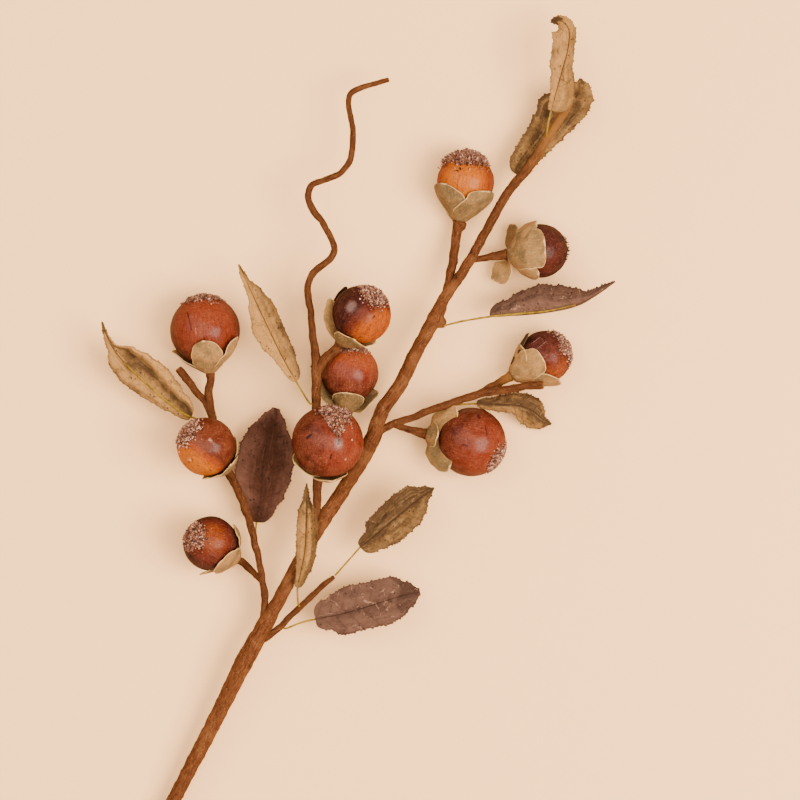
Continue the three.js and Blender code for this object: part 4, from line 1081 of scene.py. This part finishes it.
# Lengths in mm; toothPlace: where a tooth's peak is, as a share of its length; curl: degrees more outside
leafSize = {
    "rows": 200, "columns": 25, "teeth": 33, "tooth": 0.6, "toothPlace": 0.7, "curl": 10, "thickness": 0.42,
    "wave": 0.5, "billow": 0.14, "veins": 8, "slant": 0.9, "groove": 0.25, "grooveWidth": 0.34,
    "foldWidth": 7, "waves": 0.3, "waveLength": 9, "wrinkles": 0.4, "wrinkleLength": 7, "sharp": 55,
}
leafTeeth = {3: 1.3, 4: 1.3, 5: 1.3, 6: 1.4, 7: 1.8, 8: 1.4, 9: 1.2, 10: 1.6}  # how much larger the teeth are
# How dark the blade is left and right of the rib, at even places across, and beyond a place along it:
# its own colour, and painted shade in its folds, hollows and bends
leafTonesAndShade = {
    1: [(0.4, 0.35, 0.3, 0.35, 0.5), (0.55, 0.6, 0.7, 0.8, 1, 0.2, 0.05, 0, 0.3), (0.86, 0.4)],
    2: [(0.2, 0.1, 0, 0.05, 0.3), (0.2, 0.3, 0.5, 0.6, 0.7), (0.95, 0.2)],
    3: [(0.9, 0.7, 0.5, 0.3, 0.1), (1, 0.9, 0.7, 0.4, 0.1), (0.9, -0.3)],
    4: [(0.45, 0.35, 0.4, 0.4, 0.6), (0.3, 0.25, 0.4, 0.5, 0.65), (0.8, 0.4)],
    5: [(1.15, 1.1, 1, 1.05, 1.2), (0.9, 0.8, 0.7, 0.7, 0.85), (0.96, 0.2)],
    6: [(0.5, 0.3, 0.3, 0.4, 0.4), (0.5, 0.4, 0.3, 0.2, 0.4), (0.77, 0.5)],
    7: [(0, 0, 0, 0.5, 0.9, 0.4, 0.5, 0.6, 0.9), (0.4, 0.3, 0.3, 0.3, 0.5), (0.85, 0.3)],
    8: [(1.3, 1.2, 1.1, 1, 0.9, 0.8, 0.8, 0.9, 1.1), (1.3, 1, 0.75, 0.6, 0.5, 0.45, 0.5, 0.55, 0.9),
        (0.93, 0.9)],
    9: [(0.3, 0.2, 0.2, 0.3, 0.5), (0.2, 0.3, 0.4, 0.2, 0.5), (0.86, 0.7)],
    10: [(0.75, 0.75, 0.75, 0.65, 0.9), (0.6, 0.7, 0.7, 0.5, 0.6), (0.95, 0.2)],
}
# How high the blade's cross section rises left and right of the rib, at five even places across
leafFolds = {
    1: [(0, 0.8, 0.3, -0.3, 1.4), (0, -1.4, -1.2, 1.8, 0.6)],
    2: [(0, 0.4, 0, 0.4, 0.9), (0, 0.3, 0.9, 0.2, 0.8)],
    3: [(0, -0.5, -0.8, 0, 1.6), (0, -0.6, -1, -0.2, 1.2)],
    4: [(0, 0.3, 0, 0.2, 0.8), (0, 0.5, -0.3, 0.4, 1)],
    5: [(0, 0.9, -0.7, 0.2, 1.4), (0, 0.5, 0.9, 0.5, -0.8)],
    6: [(0, 0.5, 0.2, 0.6, 0.4), (0, 0.4, 0.7, 0.3, 0.5)],
    7: [(0, 0.7, 1.6, 0.6, -0.4), (0, 0, 0, 0, 0)],
    8: [(0, 0.6, 0.8, 0.4, -0.8), (0, 0.4, 0.7, 0.1, 0.6)],
    9: [(0, 0.5, 0.8, 0.3, 1), (0, 0.6, 0.2, 0.5, 0.8)],
    10: [(0, -0.5, 0.5, 0.9, 0.2), (0, 0.5, 0.8, 0.1, 0.4)],
}


def ribFrames(rib, places):
    centres = curvePoints(rib, places)
    ahead = curvePoints(rib, np.minimum(places + 0.002, 1)) - curvePoints(rib, np.maximum(places - 0.002, 0))
    directions = unit(ahead)
    sides = unit(np.cross(directions, np.array([0, 0, 1])))
    return centres, sides, np.cross(sides, directions)


def bladeWidth(widths, places):
    # Half widths at even stations; the first span rises like a quarter of an ellipse
    part = np.clip(places * (len(widths) - 1), 0, 1)
    first = widths[0] + (widths[1] - widths[0]) * np.sqrt(1 - (1 - part) ** 2)
    return np.where(part < 1, first, alongList(widths, places))


def toothHeights(place, right, marks, larger):
    march = place * leafSize["teeth"] + 0.3 * right + 0.35 * np.sin(place * 17 + marks[0] + right)
    step, peak = march % 1, leafSize["toothPlace"]
    tooth = np.where(step < peak, step / peak, (1 - step) / (1 - peak))
    tooth = tooth * leafSize["tooth"] * larger * (0.7 + 0.5 * np.sin(np.floor(march) * 2.4 + marks[1]))
    return tooth * smoothly(place, 0.02, 0.12) * (1 - smoothly(place, 0.94, 1.0))


def makeLeaf(number):
    leaf = leaves[number - 1]
    draw = np.random.default_rng(seeds["leaf"] + number)
    marks = draw.uniform(0, math.tau, 8)
    rows = leafSize["rows"]
    places = 0.5 * np.sin(np.linspace(0, math.pi / 2, rows)) ** 1.6 + 0.5 * np.linspace(0, 1, rows)
    across = np.linspace(-1, 1, leafSize["columns"])
    across = np.sign(across) * np.abs(across) ** 0.9
    centres, sides, normals = (part[:, None] for part in ribFrames(leaf["rib"], places))
    place, over = np.meshgrid(places, across, indexing="ij")
    far = np.abs(over)
    right = over > 0
    # How far each point lies from the rib, and its rise with both halves bent
    tooth = toothHeights(place, right, marks, leafTeeth.get(number, 1))
    left, other = (bladeWidth(leaf[side], places)[:, None] for side in ("left", "right"))
    width = np.where(right, other, left)
    uneven = 1 + 0.03 * np.sin(place * 13 + marks[2] + 2 * right) + 0.012 * np.sin(place * 61 + marks[5])
    width = width * uneven
    reach = far * width + tooth * far ** 6
    raised = np.radians(np.where(right, leaf["raise"][1], leaf["raise"][0]))
    curled = raised + np.sign(raised) * math.radians(leafSize["curl"])
    inner = np.minimum(reach, width / 2)
    outer = np.maximum(reach - width / 2, 0)
    aside = np.sign(over) * (inner * np.cos(raised) + outer * np.cos(curled))
    lift = inner * np.sin(raised) + outer * np.sin(curled)
    # Folds across the blade, and tones that hold its own colour and painted shade
    shift = 0.1 * np.sin(place * 9 + marks[3]) * smoothly(far, 0.1, 0.5) * (1 - smoothly(far, 0.8, 1))
    shift = np.clip(far + shift, 0, 1)
    fold, tone = (np.where(right, alongList(lists[1], shift), alongList(lists[0], shift))
                  for lists in (leafFolds[number], leafTonesAndShade[number]))
    fold = fold * np.sqrt(np.clip(np.sin(place * math.pi), 0, 1))
    lift = lift + fold * np.minimum(width / leafSize["foldWidth"], 1.2)
    border, darker = leafTonesAndShade[number][2]
    tone = tone + darker * smoothly(place + 0.04 * np.sin(over * 4), border - 0.02, border + 0.02)
    # Veins, rib and waves
    branching = place * leafSize["veins"] - far * leafSize["slant"] + 0.45 * right
    vein = smoothly(np.abs((branching % 1) - 0.5) * 2, 0.84, 0.97)
    vein = vein * smoothly(far, 0.0, 0.1) * (1 - smoothly(far, 0.75, 0.98))
    rib = smoothly(place, 0, 0.1) * (1 - smoothly(place, 0.7, 0.95))
    wave = np.sin(place * draw.uniform(14, 22) + marks[4] + 1.7 * right)
    wave = leafSize["wave"] * far ** 1.5 * wave
    wave = wave + leafSize["billow"] * np.sin(branching * math.tau) * smoothly(far, 0.05, 0.4)
    groove = leafSize["groove"] * np.exp(-(reach / leafSize["grooveWidth"]) ** 2)
    lift = lift + wave * smoothly(place, 0, 0.1) - groove
    flat = centres + sides * aside[..., None] + normals * lift[..., None]
    wrinkles = 0.5 - np.abs(ripple(flat, leafSize["wrinkleLength"], seeds["wrinkles"] + number))
    crumple = leafSize["waves"] * ripple(flat, leafSize["waveLength"], seeds["waves"] + number)
    crumple = crumple + leafSize["wrinkles"] * wrinkles
    flat = flat + normals * (crumple * smoothly(place, 0, 0.08))[..., None]
    blade = np.stack([place * 30, over * 8, np.full(place.shape, number * 3.0)], axis=-1)
    shape = Shape()
    addSheet(shape, flat, leafSize["thickness"] * (1 - 0.5 * far ** 4),
             vein=vein, rib=rib, edge=far, tone=tone, aside=over * width, blade=blade)
    shape.build(f"leaf_{number}", leaf["slot"], leafSize["sharp"])


leafStalkSize = {
    "radius": 0.5, "taper": 0.45, "clear": 1.16, "places": (0.04, 0.22, 0.4, 0.58), "rooted": 0.3,
    "spacing": 0.8, "sides": 10, "relief": 0.06, "reliefLength": 3, "sharp": 60,
}


def makeLeafStalk(number):
    # From the bark to the blade and on beside its rib
    leaf, size = leaves[number - 1], leafStalkSize
    centres, sides, normals = ribFrames(leaf["rib"], np.array(size["places"]))
    valley = max([0, *[angle * leaf["side"] for angle in leaf["raise"]]])
    along = centres + normals * leaf["side"] * size["clear"] / math.cos(math.radians(valley))
    root = np.array(leaf["stalk"][0], float)
    gaps = np.linalg.norm(bark[:, :3] - root, axis=1) - bark[:, 3]
    joined = root + unit(bark[np.argmin(gaps), :3] - root) * (gaps.min() + size["rooted"])
    route = np.vstack([joined, leaf["stalk"], along])
    places, lengths = evenPlaces(route, size["spacing"])
    points = curvePoints(route, places)
    radii = size["radius"] * (1 - size["taper"] * smoothly(places, 0.7, 1))
    relief = size["relief"] * ripple(points, size["reliefLength"], seeds["stalk"] + number)
    shape = Shape()
    addSweep(shape, points, radii, size["sides"], relief[:, None])
    shape.build(f"leafstalk_{number}", "leaf_stalk", size["sharp"])


for pieceNumber in pieceNumbers:
    makeLeaf(pieceNumber)
    makeLeafStalk(pieceNumber)
print("leaves built")

# Lengths in metres; middle: the plan point in mm that the camera looks at; lamps: place, size and power
stageLook = {
    "floor": (246, 190, 132), "half": 2.5, "warm": (1.0, 0.905, 0.785), "sky": 0.78,
    "middle": (200, 200, 22), "height": 1.6, "lens": 144,
    "lamps": {
        "key": ((1, -0.2, 1.4), 1.0, 72), "fill": ((-1.2, 0.7, 1.4), 1.6, 30), "top": ((0, 0, 2.2), 1.8, 58),
    },
}


def makeStage():
    half = stageLook["half"]
    mesh = bpy.data.meshes.new("floor")
    corners = [(-half, -half, 0), (half, -half, 0), (half, half, 0), (-half, half, 0)]
    mesh.from_pydata(corners, [], [(0, 1, 2, 3)])
    material = bpy.data.materials.new("floor")
    material.use_nodes = True
    shader = material.node_tree.nodes["Principled BSDF"]
    shader.inputs["Base Color"].default_value = linear(stageLook["floor"])
    shader.inputs["Roughness"].default_value = 0.9
    mesh.materials.append(material)
    placed("floor", mesh)
    for name, (spot, size, power) in stageLook["lamps"].items():
        light = bpy.data.lights.new(name, "AREA")
        light.size = size
        light.energy = power
        light.color = stageLook["warm"]
        lamp = placed(name, light)
        lamp.location = spot
        lamp.rotation_euler = (-Vector(spot)).to_track_quat("-Z", "Y").to_euler()
    world = bpy.data.worlds.new("studio")
    world.use_nodes = True
    sky = world.node_tree.nodes["Background"]
    sky.inputs["Color"].default_value = (*stageLook["warm"], 1)
    sky.inputs["Strength"].default_value = stageLook["sky"]
    bpy.context.scene.world = world
    view = bpy.data.cameras.new("camera")
    view.lens = stageLook["lens"]
    camera = placed("camera", view)
    middle = np.array(stageLook["middle"]) / perMetre + planShift
    camera.location = (middle[0], middle[1], middle[2] + stageLook["height"])
    bpy.context.scene.camera = camera


makeStage()
print("stage made")
